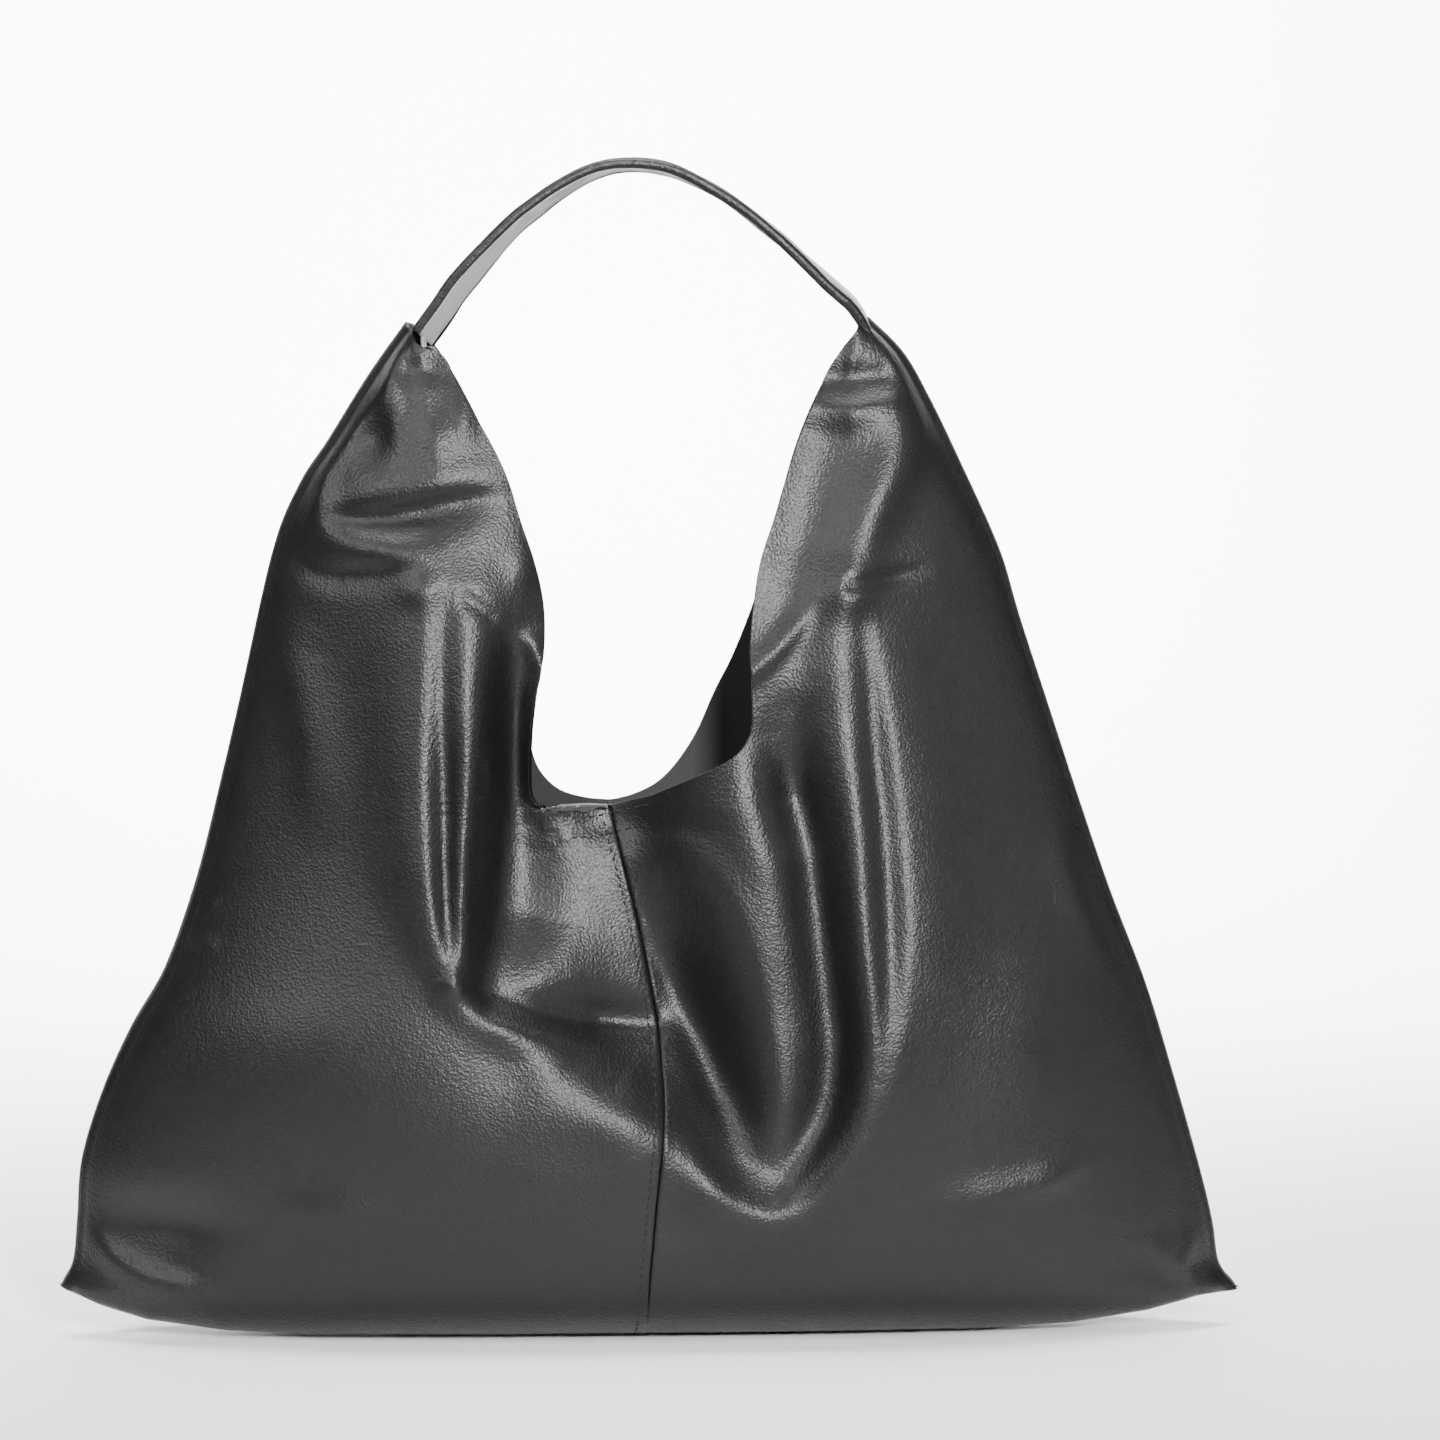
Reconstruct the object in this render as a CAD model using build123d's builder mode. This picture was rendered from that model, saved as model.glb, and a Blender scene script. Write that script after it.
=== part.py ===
from build123d import *
import os
from collections import namedtuple
from math import radians, sin, tan

os.makedirs("parts", exist_ok=True)

# A slouchy leather hobo bag, standing on its base, in millimetres.
# X runs to the right of someone facing the bag, Y to its back and Z up, from the middle of the base.

# ---- Sizes of the body -------------------------------------------------------------------
leather = 1.6            # thickness of the outer panels
lining = 0.6             # thickness of the cloth lining
lining_gap = 0.3         # looseness between leather and lining
seam_allowance = 8       # width of the turned-in leather along the side seams
foot_width = 410         # flat part of the base
foot_depth = 80
foot_halfway = 74        # a halfway depth is taken between the middle seam and a side seam
bag_width = 524          # across the two lower corners
corner_height = 22
corner_depth = 112
corner_halfway = 104
belly_width = 500
belly_height = 92
bag_depth = 132          # fullest place, front to back
belly_halfway = 128
waist_width = 438
waist_height = 163
waist_depth = 92
waist_halfway = 120
shoulder_width = 410
shoulder_height = 205
shoulder_depth = 54
shoulder_halfway = 110
mouth_height = 240       # lowest place of the edge round the mouth
mouth_side_width = 384   # width of the body at that height
mouth_depth = 21         # front to back at the closed snap
mouth_halfway = 94
throat_height = 330      # the edges round the mouth start to spread here
throat_width = 340       # width of the body at that height
throat_depth = 22
throat_halfway = 72
mouth_width = 94         # gap between the edges of the mouth
mouth_corner = 40        # radius at the two lower corners of the mouth
seam_foot_x = -4         # the middle seam leans: its place along X at the base
seam_top_x = -18         # and at the mouth, where the snap pulls front and back together
throat_bend = 150        # radius where the edges start to spread
neck_height = 397
neck_width = 284
neck_depth = 24
neck_halfway = 42
peak_height = 441        # top of the two gathered peaks
peak_span = 238          # across both peaks, outside to outside
peak_gap = 176           # between the peaks, inside to inside
peak_depth = 28
peak_halfway = 38
lining_drop = 16         # the lining ends this far below the peaks
lining_step = 3          # the lining ends this far inside the edge of the mouth

# ---- Sizes of the strap ------------------------------------------------------------------
strap_width = 38
strap_leather = 1.6
strap_filler = 2         # thickness of the webbing between the two leathers
strap_gap = 0.3          # looseness between the layers
strap_rise = 70          # from the strap's ends to the middle of its arch
strap_slope = 56         # degrees, steepness at the ends
strap_end_radius = 5     # the ends are narrow and round
strap_flare = 50         # the strap reaches its full width this far above its ends
strap_margin = 3         # leather outside the filler on each edge
strap_lift = 16          # height of the ends' turning line above the peaks
anchor_width = 10        # tongue of leather sewn inside each peak
anchor_thickness = 3
anchor_length = 54
anchor_gap = 2.5         # between the end of the tongue and the end of the strap

# ---- Sizes of the magnetic snap and its two tabs -----------------------------------------
tab_width = 36
tab_length = 32
tab_leather = 1.2
tab_corner = 5
tab_drop = 2             # the tabs' sewn top edges lie this far below the edge of the mouth
patch_front = 2.6        # place of the back tab's front face, along Y
snap_radius = 9
snap_to_top = 16         # from the tabs' top edge to the middle of the snap
snap_gap = 0.35          # between the closed halves
plate = 0.8              # thickness of the stud's plate
stud_radius = 2.2
stud_length = 2.6
socket_base = 0.6
magnet_thickness = 3
magnet_radius = 7.8
magnet_hole_radius = 3.2
magnet_gap = 0.3
cover = 0.4              # thickness of the socket's cover
cover_hole_radius = 3.0
washer = 0.6
washer_radius = 6.5
washer_gap = 0.1
prong_width = 2.6
prong = 0.6
prong_reach = 4          # from the middle of the snap to each prong
prong_gap = 0.15

# ---- Sizes of the hanging zip pocket -----------------------------------------------------
header_leather = 1.2
header_gap = 0.6         # between the back tab and the pocket's header
header_top_width = 44
hang_height = 200        # line that the pocket hangs and swings from
hang_gap = 0.5           # between that line and the cloth on either side of it
pocket_cloth = 0.8
pocket_height = 106
pocket_hollow = 3.4      # front to back inside the flat pocket
pocket_hem = 5
pocket_corner = 12
pocket_margin = 14       # cloth past each end of the zip
zip_length = 130
zip_drop = 16            # from the hanging line to the middle of the zip
slot_height = 10
tape = 0.5
tape_lap = 5             # tape hidden behind each edge of the slot
row_gap = 1.5            # between the two rows of teeth
tooth_width = 1.5
tooth_height = 2.3
tooth_depth = 1.4
tooth_pitch = 3.2
tape_step = 0.6          # the tape's edge lies this far behind the tips of the teeth
stop_width = 2
slider_length = 11
slider_height = 10
slider_plate = 0.9
slider_gap = 0.4         # round everything that the slider runs over
flange = 0.9
divider = 0.8
divider_length = 3
divider_inset = 0.8      # from the slider's wide end
bail_radius = 0.6
bail_post = 1.0
eye_gap = 0.4
eye_radius = 2.0
eye_height = 2.4
pull_length = 20
pull_width = 6
pull_thickness = 1.2
pull_hole_radius = 1.2

# ---- Places that follow from the sizes ---------------------------------------------------
anchor_x = (peak_gap / 2 + peak_span / 2 - seam_allowance) / 2
hinge_height = peak_height + strap_lift
anchor_top = hinge_height - strap_end_radius - anchor_gap
tab_top = mouth_height - tab_drop
snap_height = tab_top - snap_to_top
tab_gap = washer + washer_gap
patch_back = patch_front + 2 * tab_leather + tab_gap
cover_front = patch_front - socket_base - magnet_thickness - cover
plate_front = cover_front - snap_gap - plate
tab_front = plate_front - 2 * tab_leather - tab_gap
header_front = patch_back + header_gap
header_back = header_front + header_leather
pocket_width = zip_length + 2 * pocket_margin
pocket_front_face = header_front - pocket_cloth
pocket_front_back = pocket_front_face + pocket_cloth
pocket_back_front = pocket_front_back + pocket_hollow
zip_height = hang_height - zip_drop
teeth_front = pocket_front_back - tooth_depth
slider_front = teeth_front - slider_gap - slider_plate
slider_back = pocket_front_back + tape + slider_gap
stop_place = zip_length / 2 - stop_width / 2
slider_x = seam_top_x + stop_place - stop_width / 2 - slider_gap - slider_length / 2
bail_depth = slider_front - eye_gap - eye_radius

# One horizontal section of the body: its height, its width, and its depth front to back at the
# middle and halfway out to each side seam.
Level = namedtuple("Level", "height width middle halfway")
levels = [
    Level(0, foot_width, foot_depth, foot_halfway),
    Level(corner_height, bag_width, corner_depth, corner_halfway),
    Level(belly_height, belly_width, bag_depth, belly_halfway),
    Level(waist_height, waist_width, waist_depth, waist_halfway),
    Level(shoulder_height, shoulder_width, shoulder_depth, shoulder_halfway),
    Level(mouth_height, mouth_side_width, mouth_depth, mouth_halfway),
    Level(throat_height, throat_width, throat_depth, throat_halfway),
    Level(neck_height, neck_width, neck_depth, neck_halfway),
    Level(peak_height, peak_span, peak_depth, peak_halfway),
]


def upright(depth):
    """Plane facing the front at a place along Y, with sketches laid out in X and Z.

    Extrusions from it run towards the front of the bag."""
    return Plane.XZ.offset(-depth)


def half_block(side_sign, inset, side_inset, floor):
    """Left or right half of the body, moved inwards by inset at its faces and side_inset at its seam."""
    with BuildPart() as block:
        for level in levels:
            height = max(level.height, floor)
            seam_x = seam_foot_x + (seam_top_x - seam_foot_x) * min(height / mouth_height, 1)
            side_x = side_sign * (level.width / 2 - side_inset)
            halfway_x = (seam_x + side_x) / 2
            middle = level.middle / 2 - inset
            halfway = level.halfway / 2 - inset
            with BuildSketch(Plane.XY.offset(height)):
                with BuildLine():
                    ThreePointArc((seam_x, -middle), (halfway_x, -halfway), (side_x, 0))
                    ThreePointArc((side_x, 0), (halfway_x, halfway), (seam_x, middle))
                    Line((seam_x, middle), (seam_x, -middle))
                make_face()
        loft(ruled=True)
    return block.part


def mouth_cutter(step):
    """Block in the shape of the mouth, made larger by step along all its edges."""
    bottom = mouth_height - step
    throat = mouth_width / 2 + step
    spread = (peak_gap / 2 - mouth_width / 2) / (peak_height - throat_height)
    top = peak_height + 2 * strap_lift
    top_x = throat + spread * (top - throat_height)
    with BuildPart() as cutter:
        with BuildSketch(Plane.XZ) as outline:
            with BuildLine():
                Polyline(
                    (-top_x, top),
                    (-throat, throat_height),
                    (-throat, bottom),
                    (throat, bottom),
                    (throat, throat_height),
                    (top_x, top),
                    close=True,
                )
            make_face()
            fillet(outline.vertices().group_by(Axis.Y)[0], mouth_corner)
            fillet(outline.vertices().group_by(Axis.Y)[-2], throat_bend)
        extrude(amount=bag_depth, both=True)
    return cutter.part


def half_shell(side_sign, outer, wall, drop, step):
    """Left or right half of one layer of the body, which lies inside the bag's surface by outer."""
    side = seam_allowance if outer else 0
    with BuildPart() as shell:
        add(half_block(side_sign, outer, side, outer))
        inner_side = seam_allowance + (wall if outer else 0)
        add(half_block(side_sign, outer + wall, inner_side, outer + wall), mode=Mode.SUBTRACT)
        add(mouth_cutter(step), mode=Mode.SUBTRACT)
        if drop:
            with Locations((0, 0, peak_height)):
                Box(2 * bag_width, 2 * bag_depth, 2 * drop, mode=Mode.SUBTRACT)
    return shell.part


def save(piece, name):
    """Give a finished piece its name and write it."""
    piece.label = name
    export_step(piece, f"parts/{name}.step")


# ---- Outer leather: two front panels and two back panels, sewn at the middle and the sides ---
sides = {"left": -1, "right": 1}
for side_name, side_sign in sides.items():
    leather_shell = half_shell(side_sign, 0, leather, 0, 0)

    with BuildPart() as front_panel:
        add(leather_shell)
        split(bisect_by=Plane.XZ, keep=Keep.TOP)
    save(front_panel.part, f"front_panel_{side_name}")

    with BuildPart() as back_panel:
        add(leather_shell)
        split(bisect_by=Plane.XZ, keep=Keep.BOTTOM)
    save(back_panel.part, f"back_panel_{side_name}")

# ---- Cloth lining: a front half and a back half, each across the whole bag -------------------
lining_inset = leather + lining_gap
with BuildPart() as lining_bag:
    for side_sign in sides.values():
        add(half_shell(side_sign, lining_inset, lining, lining_drop, lining_step))

with BuildPart() as lining_front:
    add(lining_bag.part)
    split(bisect_by=Plane.XZ, keep=Keep.TOP)
save(lining_front.part, "lining_front")

with BuildPart() as lining_back:
    add(lining_bag.part)
    split(bisect_by=Plane.XZ, keep=Keep.BOTTOM)
save(lining_back.part, "lining_back")

# ---- Tongues that hold the strap, sewn inside the two peaks ----------------------------------
for side_name, side_sign in sides.items():
    with BuildPart() as strap_anchor:
        with BuildSketch(upright(anchor_thickness / 2)):
            with Locations((side_sign * anchor_x, anchor_top)):
                Rectangle(anchor_width, anchor_length, align=(Align.CENTER, Align.MAX))
        extrude(amount=anchor_thickness)
        fillet(strap_anchor.edges().filter_by(Axis.Y).group_by(Axis.Z)[0], anchor_width / 3)
    save(strap_anchor.part, f"strap_anchor_{side_name}")

# ---- Strap: an arch of two leathers round a webbing filler -----------------------------------


def arch(offset):
    """Draw one arched edge of the strap, at a distance outside its middle line."""
    slope = radians(strap_slope)
    end_x = anchor_x + offset / sin(slope)
    tail_x = end_x + strap_end_radius / tan(slope)
    tail_height = hinge_height - strap_end_radius
    # The middle of a cubic curve lies at three quarters of its control points' height.
    lift = (strap_rise + offset) / 0.75
    run = lift / tan(slope)
    left = Line((-tail_x, tail_height), (-end_x, hinge_height))
    Bezier(
        (-end_x, hinge_height),
        (run - end_x, hinge_height + lift),
        (end_x - run, hinge_height + lift),
        (end_x, hinge_height),
    )
    right = Line((end_x, hinge_height), (tail_x, tail_height))
    return left @ 0, right @ 1


def strap_layer(low, high, margin):
    """One layer of the strap between two distances from its middle line."""
    end = strap_end_radius - margin
    half = strap_width / 2 - margin
    top = hinge_height + strap_rise + strap_width
    with BuildPart() as layer:
        with BuildSketch(Plane.XZ):
            with BuildLine():
                low_left, low_right = arch(low)
                high_left, high_right = arch(high)
                Line(low_left, high_left)
                Line(low_right, high_right)
            make_face()
        extrude(amount=strap_width, both=True)
        with BuildSketch(Plane.YZ):
            with Locations((0, hinge_height)):
                Circle(end)
            with BuildLine():
                Polyline(
                    (-end, hinge_height),
                    (-half, hinge_height + strap_flare),
                    (-half, top),
                    (half, top),
                    (half, hinge_height + strap_flare),
                    (end, hinge_height),
                    close=True,
                )
            make_face()
        extrude(amount=bag_width, both=True, mode=Mode.INTERSECT)
    return layer.part


filler_edge = strap_filler / 2
leather_edge = filler_edge + strap_gap
with BuildPart() as strap_outer:
    add(strap_layer(leather_edge, leather_edge + strap_leather, 0))
save(strap_outer.part, "strap_outer")

with BuildPart() as strap_core:
    add(strap_layer(-filler_edge, filler_edge, strap_margin))
save(strap_core.part, "strap_core")

with BuildPart() as strap_underside:
    add(strap_layer(-leather_edge - strap_leather, -leather_edge, 0))
save(strap_underside.part, "strap_underside")

# ---- Snap tabs: a strip of leather folded once, so that a washer lies between its layers -----
snap_place = (seam_top_x, snap_height)
prong_places = [(seam_top_x - prong_reach, snap_height), (seam_top_x + prong_reach, snap_height)]


def folded_tab(front, drilled_front, drilled_back):
    """Folded strip with its open end up, and prong slots through the layer in the drilled range."""
    back = front + 2 * tab_leather + tab_gap
    bottom = tab_top - tab_length
    with BuildPart() as tab:
        with BuildSketch(Plane.YZ) as strip:
            with Locations((front, bottom)):
                Rectangle(back - front, tab_length, align=(Align.MIN, Align.MIN))
            fillet(strip.vertices().group_by(Axis.Y)[0], 0.45 * (back - front))
            with Locations((front + tab_leather, bottom + tab_leather)):
                Rectangle(tab_gap, tab_length, align=(Align.MIN, Align.MIN), mode=Mode.SUBTRACT)
        extrude(amount=bag_width, both=True)
        with BuildSketch(upright(back)) as outline:
            with Locations((seam_top_x, bottom)):
                Rectangle(tab_width, tab_length, align=(Align.CENTER, Align.MIN))
            fillet(outline.vertices().group_by(Axis.Y)[0], tab_corner)
        extrude(amount=back - front, mode=Mode.INTERSECT)
        with BuildSketch(upright(drilled_back)):
            with Locations(*prong_places):
                Rectangle(prong + 2 * prong_gap, prong_width + 2 * prong_gap)
        extrude(amount=drilled_back - drilled_front, mode=Mode.SUBTRACT)
    return tab.part


def prong_washer(front):
    """Washer behind a tab's layer, slotted for the prongs."""
    with BuildPart() as disc:
        with BuildSketch(upright(front + washer)):
            with Locations(snap_place):
                Circle(washer_radius)
            with Locations(*prong_places):
                Rectangle(prong + 2 * prong_gap, prong_width + 2 * prong_gap, mode=Mode.SUBTRACT)
        extrude(amount=washer)
    return disc.part


plate_back = plate_front + plate
stud_layer_front = plate_front - tab_leather
with BuildPart() as snap_tab_front:
    add(folded_tab(tab_front, stud_layer_front, plate_front))
save(snap_tab_front.part, "snap_tab_front")

with BuildPart() as snap_stud_washer:
    add(prong_washer(stud_layer_front - washer))
save(snap_stud_washer.part, "snap_stud_washer")

with BuildPart() as snap_stud:
    with BuildSketch(upright(plate_back)):
        with Locations(snap_place):
            Circle(snap_radius)
    extrude(amount=plate)
    with BuildSketch(upright(plate_back + stud_length)):
        with Locations(snap_place):
            Circle(stud_radius)
    extrude(amount=stud_length)
    with BuildSketch(upright(plate_front)):
        with Locations(*prong_places):
            Rectangle(prong, prong_width)
    extrude(amount=tab_leather + washer)
save(snap_stud.part, "snap_stud")

with BuildPart() as snap_patch_back:
    add(folded_tab(patch_front, patch_front, patch_front + tab_leather))
save(snap_patch_back.part, "snap_patch_back")

with BuildPart() as snap_socket_washer:
    add(prong_washer(patch_front + tab_leather))
save(snap_socket_washer.part, "snap_socket_washer")

magnet_back = patch_front - socket_base
magnet_front = magnet_back - magnet_thickness
with BuildPart() as snap_socket_base:
    with BuildSketch(upright(patch_front)):
        with Locations(snap_place):
            Circle(snap_radius - cover)
    extrude(amount=socket_base)
    with BuildSketch(upright(patch_front + tab_leather + washer)):
        with Locations(*prong_places):
            Rectangle(prong, prong_width)
    extrude(amount=tab_leather + washer)
save(snap_socket_base.part, "snap_socket_base")

with BuildPart() as snap_magnet:
    with BuildSketch(upright(magnet_back)):
        with Locations(snap_place):
            Circle(magnet_radius)
            Circle(magnet_hole_radius, mode=Mode.SUBTRACT)
    extrude(amount=magnet_thickness)
save(snap_magnet.part, "snap_magnet")

with BuildPart() as snap_socket_cover:
    with BuildSketch(upright(patch_front)):
        with Locations(snap_place):
            Circle(snap_radius)
            Circle(snap_radius - cover, mode=Mode.SUBTRACT)
    extrude(amount=socket_base + magnet_thickness)
    with BuildSketch(upright(magnet_front)):
        with Locations(snap_place):
            Circle(snap_radius)
            Circle(cover_hole_radius, mode=Mode.SUBTRACT)
    extrude(amount=cover)
save(snap_socket_cover.part, "snap_socket_cover")

# ---- Zip pocket: a leather header, and a flat cloth pocket that hangs from it ----------------
with BuildPart() as pocket_header:
    with BuildSketch(upright(header_back)):
        with BuildLine():
            Polyline(
                (seam_top_x - pocket_width / 2, hang_height + hang_gap),
                (seam_top_x - header_top_width / 2, tab_top),
                (seam_top_x + header_top_width / 2, tab_top),
                (seam_top_x + pocket_width / 2, hang_height + hang_gap),
                close=True,
            )
        make_face()
    extrude(amount=header_leather)
    fillet(pocket_header.edges().filter_by(Axis.Y).group_by(Axis.Z)[-1], tab_corner)
save(pocket_header.part, "pocket_header")


def pocket_sheet(inset):
    """Draw the pocket's outline, made smaller by inset all round."""
    top = hang_height - hang_gap - inset
    with Locations((seam_top_x, top)):
        Rectangle(pocket_width - 2 * inset, pocket_height - 2 * inset, align=(Align.CENTER, Align.MAX))


with BuildPart() as pocket_front:
    with BuildSketch(upright(pocket_front_back)) as sheet:
        pocket_sheet(0)
        fillet(sheet.vertices().group_by(Axis.Y)[0], pocket_corner)
        with Locations((seam_top_x, zip_height)):
            Rectangle(zip_length, slot_height, mode=Mode.SUBTRACT)
    extrude(amount=pocket_cloth)
save(pocket_front.part, "pocket_front")

with BuildPart() as pocket_back:
    with BuildSketch(upright(pocket_back_front + pocket_cloth)) as sheet:
        pocket_sheet(0)
        fillet(sheet.vertices().group_by(Axis.Y)[0], pocket_corner)
    extrude(amount=pocket_cloth + pocket_hollow)
    with BuildSketch(upright(pocket_back_front)):
        pocket_sheet(pocket_hem)
    extrude(amount=pocket_hollow, mode=Mode.SUBTRACT)
save(pocket_back.part, "pocket_back")

# ---- Zip: two tapes behind the pocket's slot, each with its row of teeth ---------------------
tooth_count = int((zip_length - 2 * stop_width) / tooth_pitch)
for row_name, row_sign in (("upper", 1), ("lower", -1)):
    tape_near = row_gap / 2 + tape_step
    tape_far = slot_height / 2 + tape_lap
    with BuildPart() as zip_tape:
        with BuildSketch(upright(pocket_front_back + tape)):
            with Locations((seam_top_x, zip_height + row_sign * (tape_near + tape_far) / 2)):
                Rectangle(zip_length + tape_lap, tape_far - tape_near)
        extrude(amount=tape)
    save(zip_tape.part, f"zip_tape_{row_name}")

    with BuildPart() as zip_teeth:
        with BuildSketch(upright(pocket_front_back)):
            with Locations((seam_top_x, zip_height + row_sign * (row_gap + tooth_height) / 2)):
                with GridLocations(tooth_pitch, 1, tooth_count, 1):
                    Rectangle(tooth_width, tooth_height)
        extrude(amount=tooth_depth)
    save(zip_teeth.part, f"zip_teeth_{row_name}")

row_height = row_gap / 2 + tooth_height
with BuildPart() as zip_stops:
    with BuildSketch(upright(pocket_front_back)):
        with Locations((seam_top_x - stop_place, zip_height)):
            Rectangle(stop_width, 2 * row_height)
        with Locations((seam_top_x + stop_place, zip_height)):
            with GridLocations(1, row_gap + tooth_height, 1, 2):
                Rectangle(stop_width, tooth_height)
    extrude(amount=tooth_depth)
save(zip_stops.part, "zip_stops")

# ---- Slider: a front and a back plate joined by the divider, with side flanges and a bail ----
flange_place = row_height + slider_gap + flange / 2
post_place = eye_height / 2 + eye_gap + bail_post / 2
with BuildPart() as zip_slider:
    with BuildSketch(upright(slider_front + slider_plate)):
        with Locations((slider_x, zip_height)):
            RectangleRounded(slider_length, slider_height, slider_height / 4)
    extrude(amount=slider_plate)
    with BuildSketch(upright(slider_back + slider_plate)):
        with Locations((slider_x, zip_height)):
            RectangleRounded(slider_length, slider_height, slider_height / 4)
    extrude(amount=slider_plate)
    with BuildSketch(upright(slider_back)):
        with Locations((slider_x + (slider_length - divider_length) / 2 - divider_inset, zip_height)):
            Rectangle(divider_length, divider)
    extrude(amount=slider_back - slider_front - slider_plate)
    with BuildSketch(upright(pocket_front_back - slider_gap)):
        with Locations((slider_x, zip_height)):
            with GridLocations(1, 2 * flange_place, 1, 2):
                Rectangle(slider_length - slider_height / 2, flange)
    extrude(amount=tooth_depth)
    with BuildSketch(upright(slider_front)):
        with Locations((slider_x, zip_height)):
            with GridLocations(1, 2 * post_place, 1, 2):
                Rectangle(2 * bail_radius, bail_post)
    extrude(amount=eye_radius + eye_gap + bail_radius)
    with BuildSketch(Plane.XY.offset(zip_height - post_place)):
        with Locations((slider_x, bail_depth)):
            Circle(bail_radius)
    extrude(amount=2 * post_place)
save(zip_slider.part, "zip_slider")

# ---- Pull: an eye round the slider's bail and a flat grip ------------------------------------
grip_start = slider_x + eye_radius + bail_radius
with BuildPart() as zip_pull:
    with BuildSketch(Plane.XY.offset(zip_height - eye_height / 2)):
        with Locations((slider_x, bail_depth)):
            Circle(eye_radius)
            Rectangle(2 * eye_radius + pull_width, pull_thickness, align=(Align.MIN, Align.CENTER))
            Circle(bail_radius + eye_gap, mode=Mode.SUBTRACT)
    extrude(amount=eye_height)
    with BuildSketch(upright(bail_depth + pull_thickness / 2)):
        with Locations((grip_start + pull_length / 2, zip_height)):
            SlotOverall(pull_length, pull_width)
        with Locations((grip_start + pull_length - pull_width / 2, zip_height)):
            Circle(pull_hole_radius, mode=Mode.SUBTRACT)
    extrude(amount=pull_thickness)
save(zip_pull.part, "zip_pull")
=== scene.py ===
import math

import bmesh
import bpy
import numpy as np
from bpy.props import FloatProperty, FloatVectorProperty, PointerProperty
from mathutils import Matrix, Vector


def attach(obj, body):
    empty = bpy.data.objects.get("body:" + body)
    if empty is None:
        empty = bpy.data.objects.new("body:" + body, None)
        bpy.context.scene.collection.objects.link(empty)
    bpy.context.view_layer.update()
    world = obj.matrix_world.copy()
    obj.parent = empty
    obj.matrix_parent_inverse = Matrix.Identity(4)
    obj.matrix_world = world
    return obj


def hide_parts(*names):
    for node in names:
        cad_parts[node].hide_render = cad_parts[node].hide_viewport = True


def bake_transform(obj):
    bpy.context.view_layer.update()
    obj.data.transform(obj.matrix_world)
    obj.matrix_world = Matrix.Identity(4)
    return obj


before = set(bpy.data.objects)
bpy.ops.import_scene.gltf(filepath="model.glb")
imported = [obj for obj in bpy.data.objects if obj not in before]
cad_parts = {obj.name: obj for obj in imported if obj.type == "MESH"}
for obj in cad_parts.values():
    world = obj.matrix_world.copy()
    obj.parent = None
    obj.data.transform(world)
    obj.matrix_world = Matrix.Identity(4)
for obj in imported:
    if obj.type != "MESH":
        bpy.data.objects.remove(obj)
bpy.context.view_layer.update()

bl_info = {
    "name": "Hobo bag",
    "version": (1, 0, 0),
    "blender": (4, 5, 0),
    "location": "3D View > Sidebar > Bag",
    "description": "Models a slouchy leather hobo bag round its packed frame",
    "category": "Object",
}

MM = 0.001
LEATHER = 1.6
LINING = 0.6
FLANGE = 3.0  # width of the sewn edge where front and back lie on each other
ROW_TO_SEAM = 3.8  # from the topstitching to the middle seam

# ---- Outlines of the leather, in millimetres: (x, z) pairs from the base upwards ----
SIDE = {
    "left": [
        (-264.3, 22.3), (-258.3, 33.3), (-256.2, 53.3), (-254.1, 79.3), (-245, 109.2), (-232, 138.1),
        (-216.1, 165.9), (-202, 205.8), (-191, 250.5), (-182.9, 285.3), (-167.8, 351.9),
        (-155.8, 381.6), (-142.9, 401.4), (-125, 430.2), (-108.1, 454),
    ],
    "right": [
        (268.1, 16.4), (258.9, 27.6), (255.7, 47), (249.5, 72.4), (238.2, 112), (224.8, 155.6),
        (208.4, 198.1), (194.1, 239.5), (180.8, 279.7), (166.6, 322.9), (157.4, 353), (139.2, 393),
        (126.1, 419.9), (114, 440.8), (98, 456.7),
    ],
}
SEAM = {
    "front": [
        (-4, 0), (0.6, 59.1), (4.6, 102.5), (4.1, 123.3), (1.7, 148.4), (-4.8, 181.8), (-12.4, 213),
        (-18.2, 238.5),
    ],
    "back": [(-4, 0), (-4, 60), (-6, 120), (-11, 180), (-18, 240)],
}
FOOT = {
    "left": [(-264.3, 22.3), (-248, 15), (-225, 8), (-190, 3), (-150, 1.2), (-80, 0.8)],
    "right": [(268.1, 16.4), (248, 14), (225, 8), (190, 3), (150, 1.2), (80, 0.8)],
}
EDGE = {
    ("front", "left"): [
        (-105.8, 450), (-104.9, 445), (-99, 441.3), (-94, 440.2), (-89.5, 435), (-84.3, 422.8),
        (-71.5, 400.9), (-63.6, 384.2), (-57.8, 365.5), (-51, 344.9), (-47.4, 326.2), (-47.6, 306),
        (-51, 290), (-53.4, 274), (-54.2, 258), (-54, 246), (-51.5, 239.8), (-44.3, 236.6),
        (-36.3, 236.2), (-27.3, 236.8), (-18.2, 238.5),
    ],
    ("front", "right"): [
        (93.6, 453.8), (91, 449), (85.2, 441.8), (78.2, 430.2), (65.7, 401.2),
        (58.3, 379.3), (54.1, 365.5), (48, 347.8), (44.9, 330.1), (42.7, 307.7), (43.6, 290.1),
        (43.5, 272.6), (37.6, 262.8), (28.9, 256.9), (20.3, 252.7), (8.9, 247.4), (-0.6, 243),
        (-9.4, 240.7), (-18.2, 238.5),
    ],
    ("back", "left"): [
        (-104, 452), (-98, 447), (-90, 436), (-78, 414), (-66, 388), (-58, 360),
        (-53, 330), (-52, 300), (-54, 275), (-51, 256), (-42, 245), (-30, 241), (-18, 240),
    ],
    ("back", "right"): [
        (95.2, 452.9), (92.3, 449), (86.5, 441.1), (76.9, 424.3), (67.3, 400.5),
        (59.8, 372.4), (51.1, 335.9), (40.1, 306.3), (30.9, 287.9), (22.7, 269.7), (13.2, 255.7),
        (3.7, 247), (-6.7, 242.4), (-17.9, 239.7),
    ],
}

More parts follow.
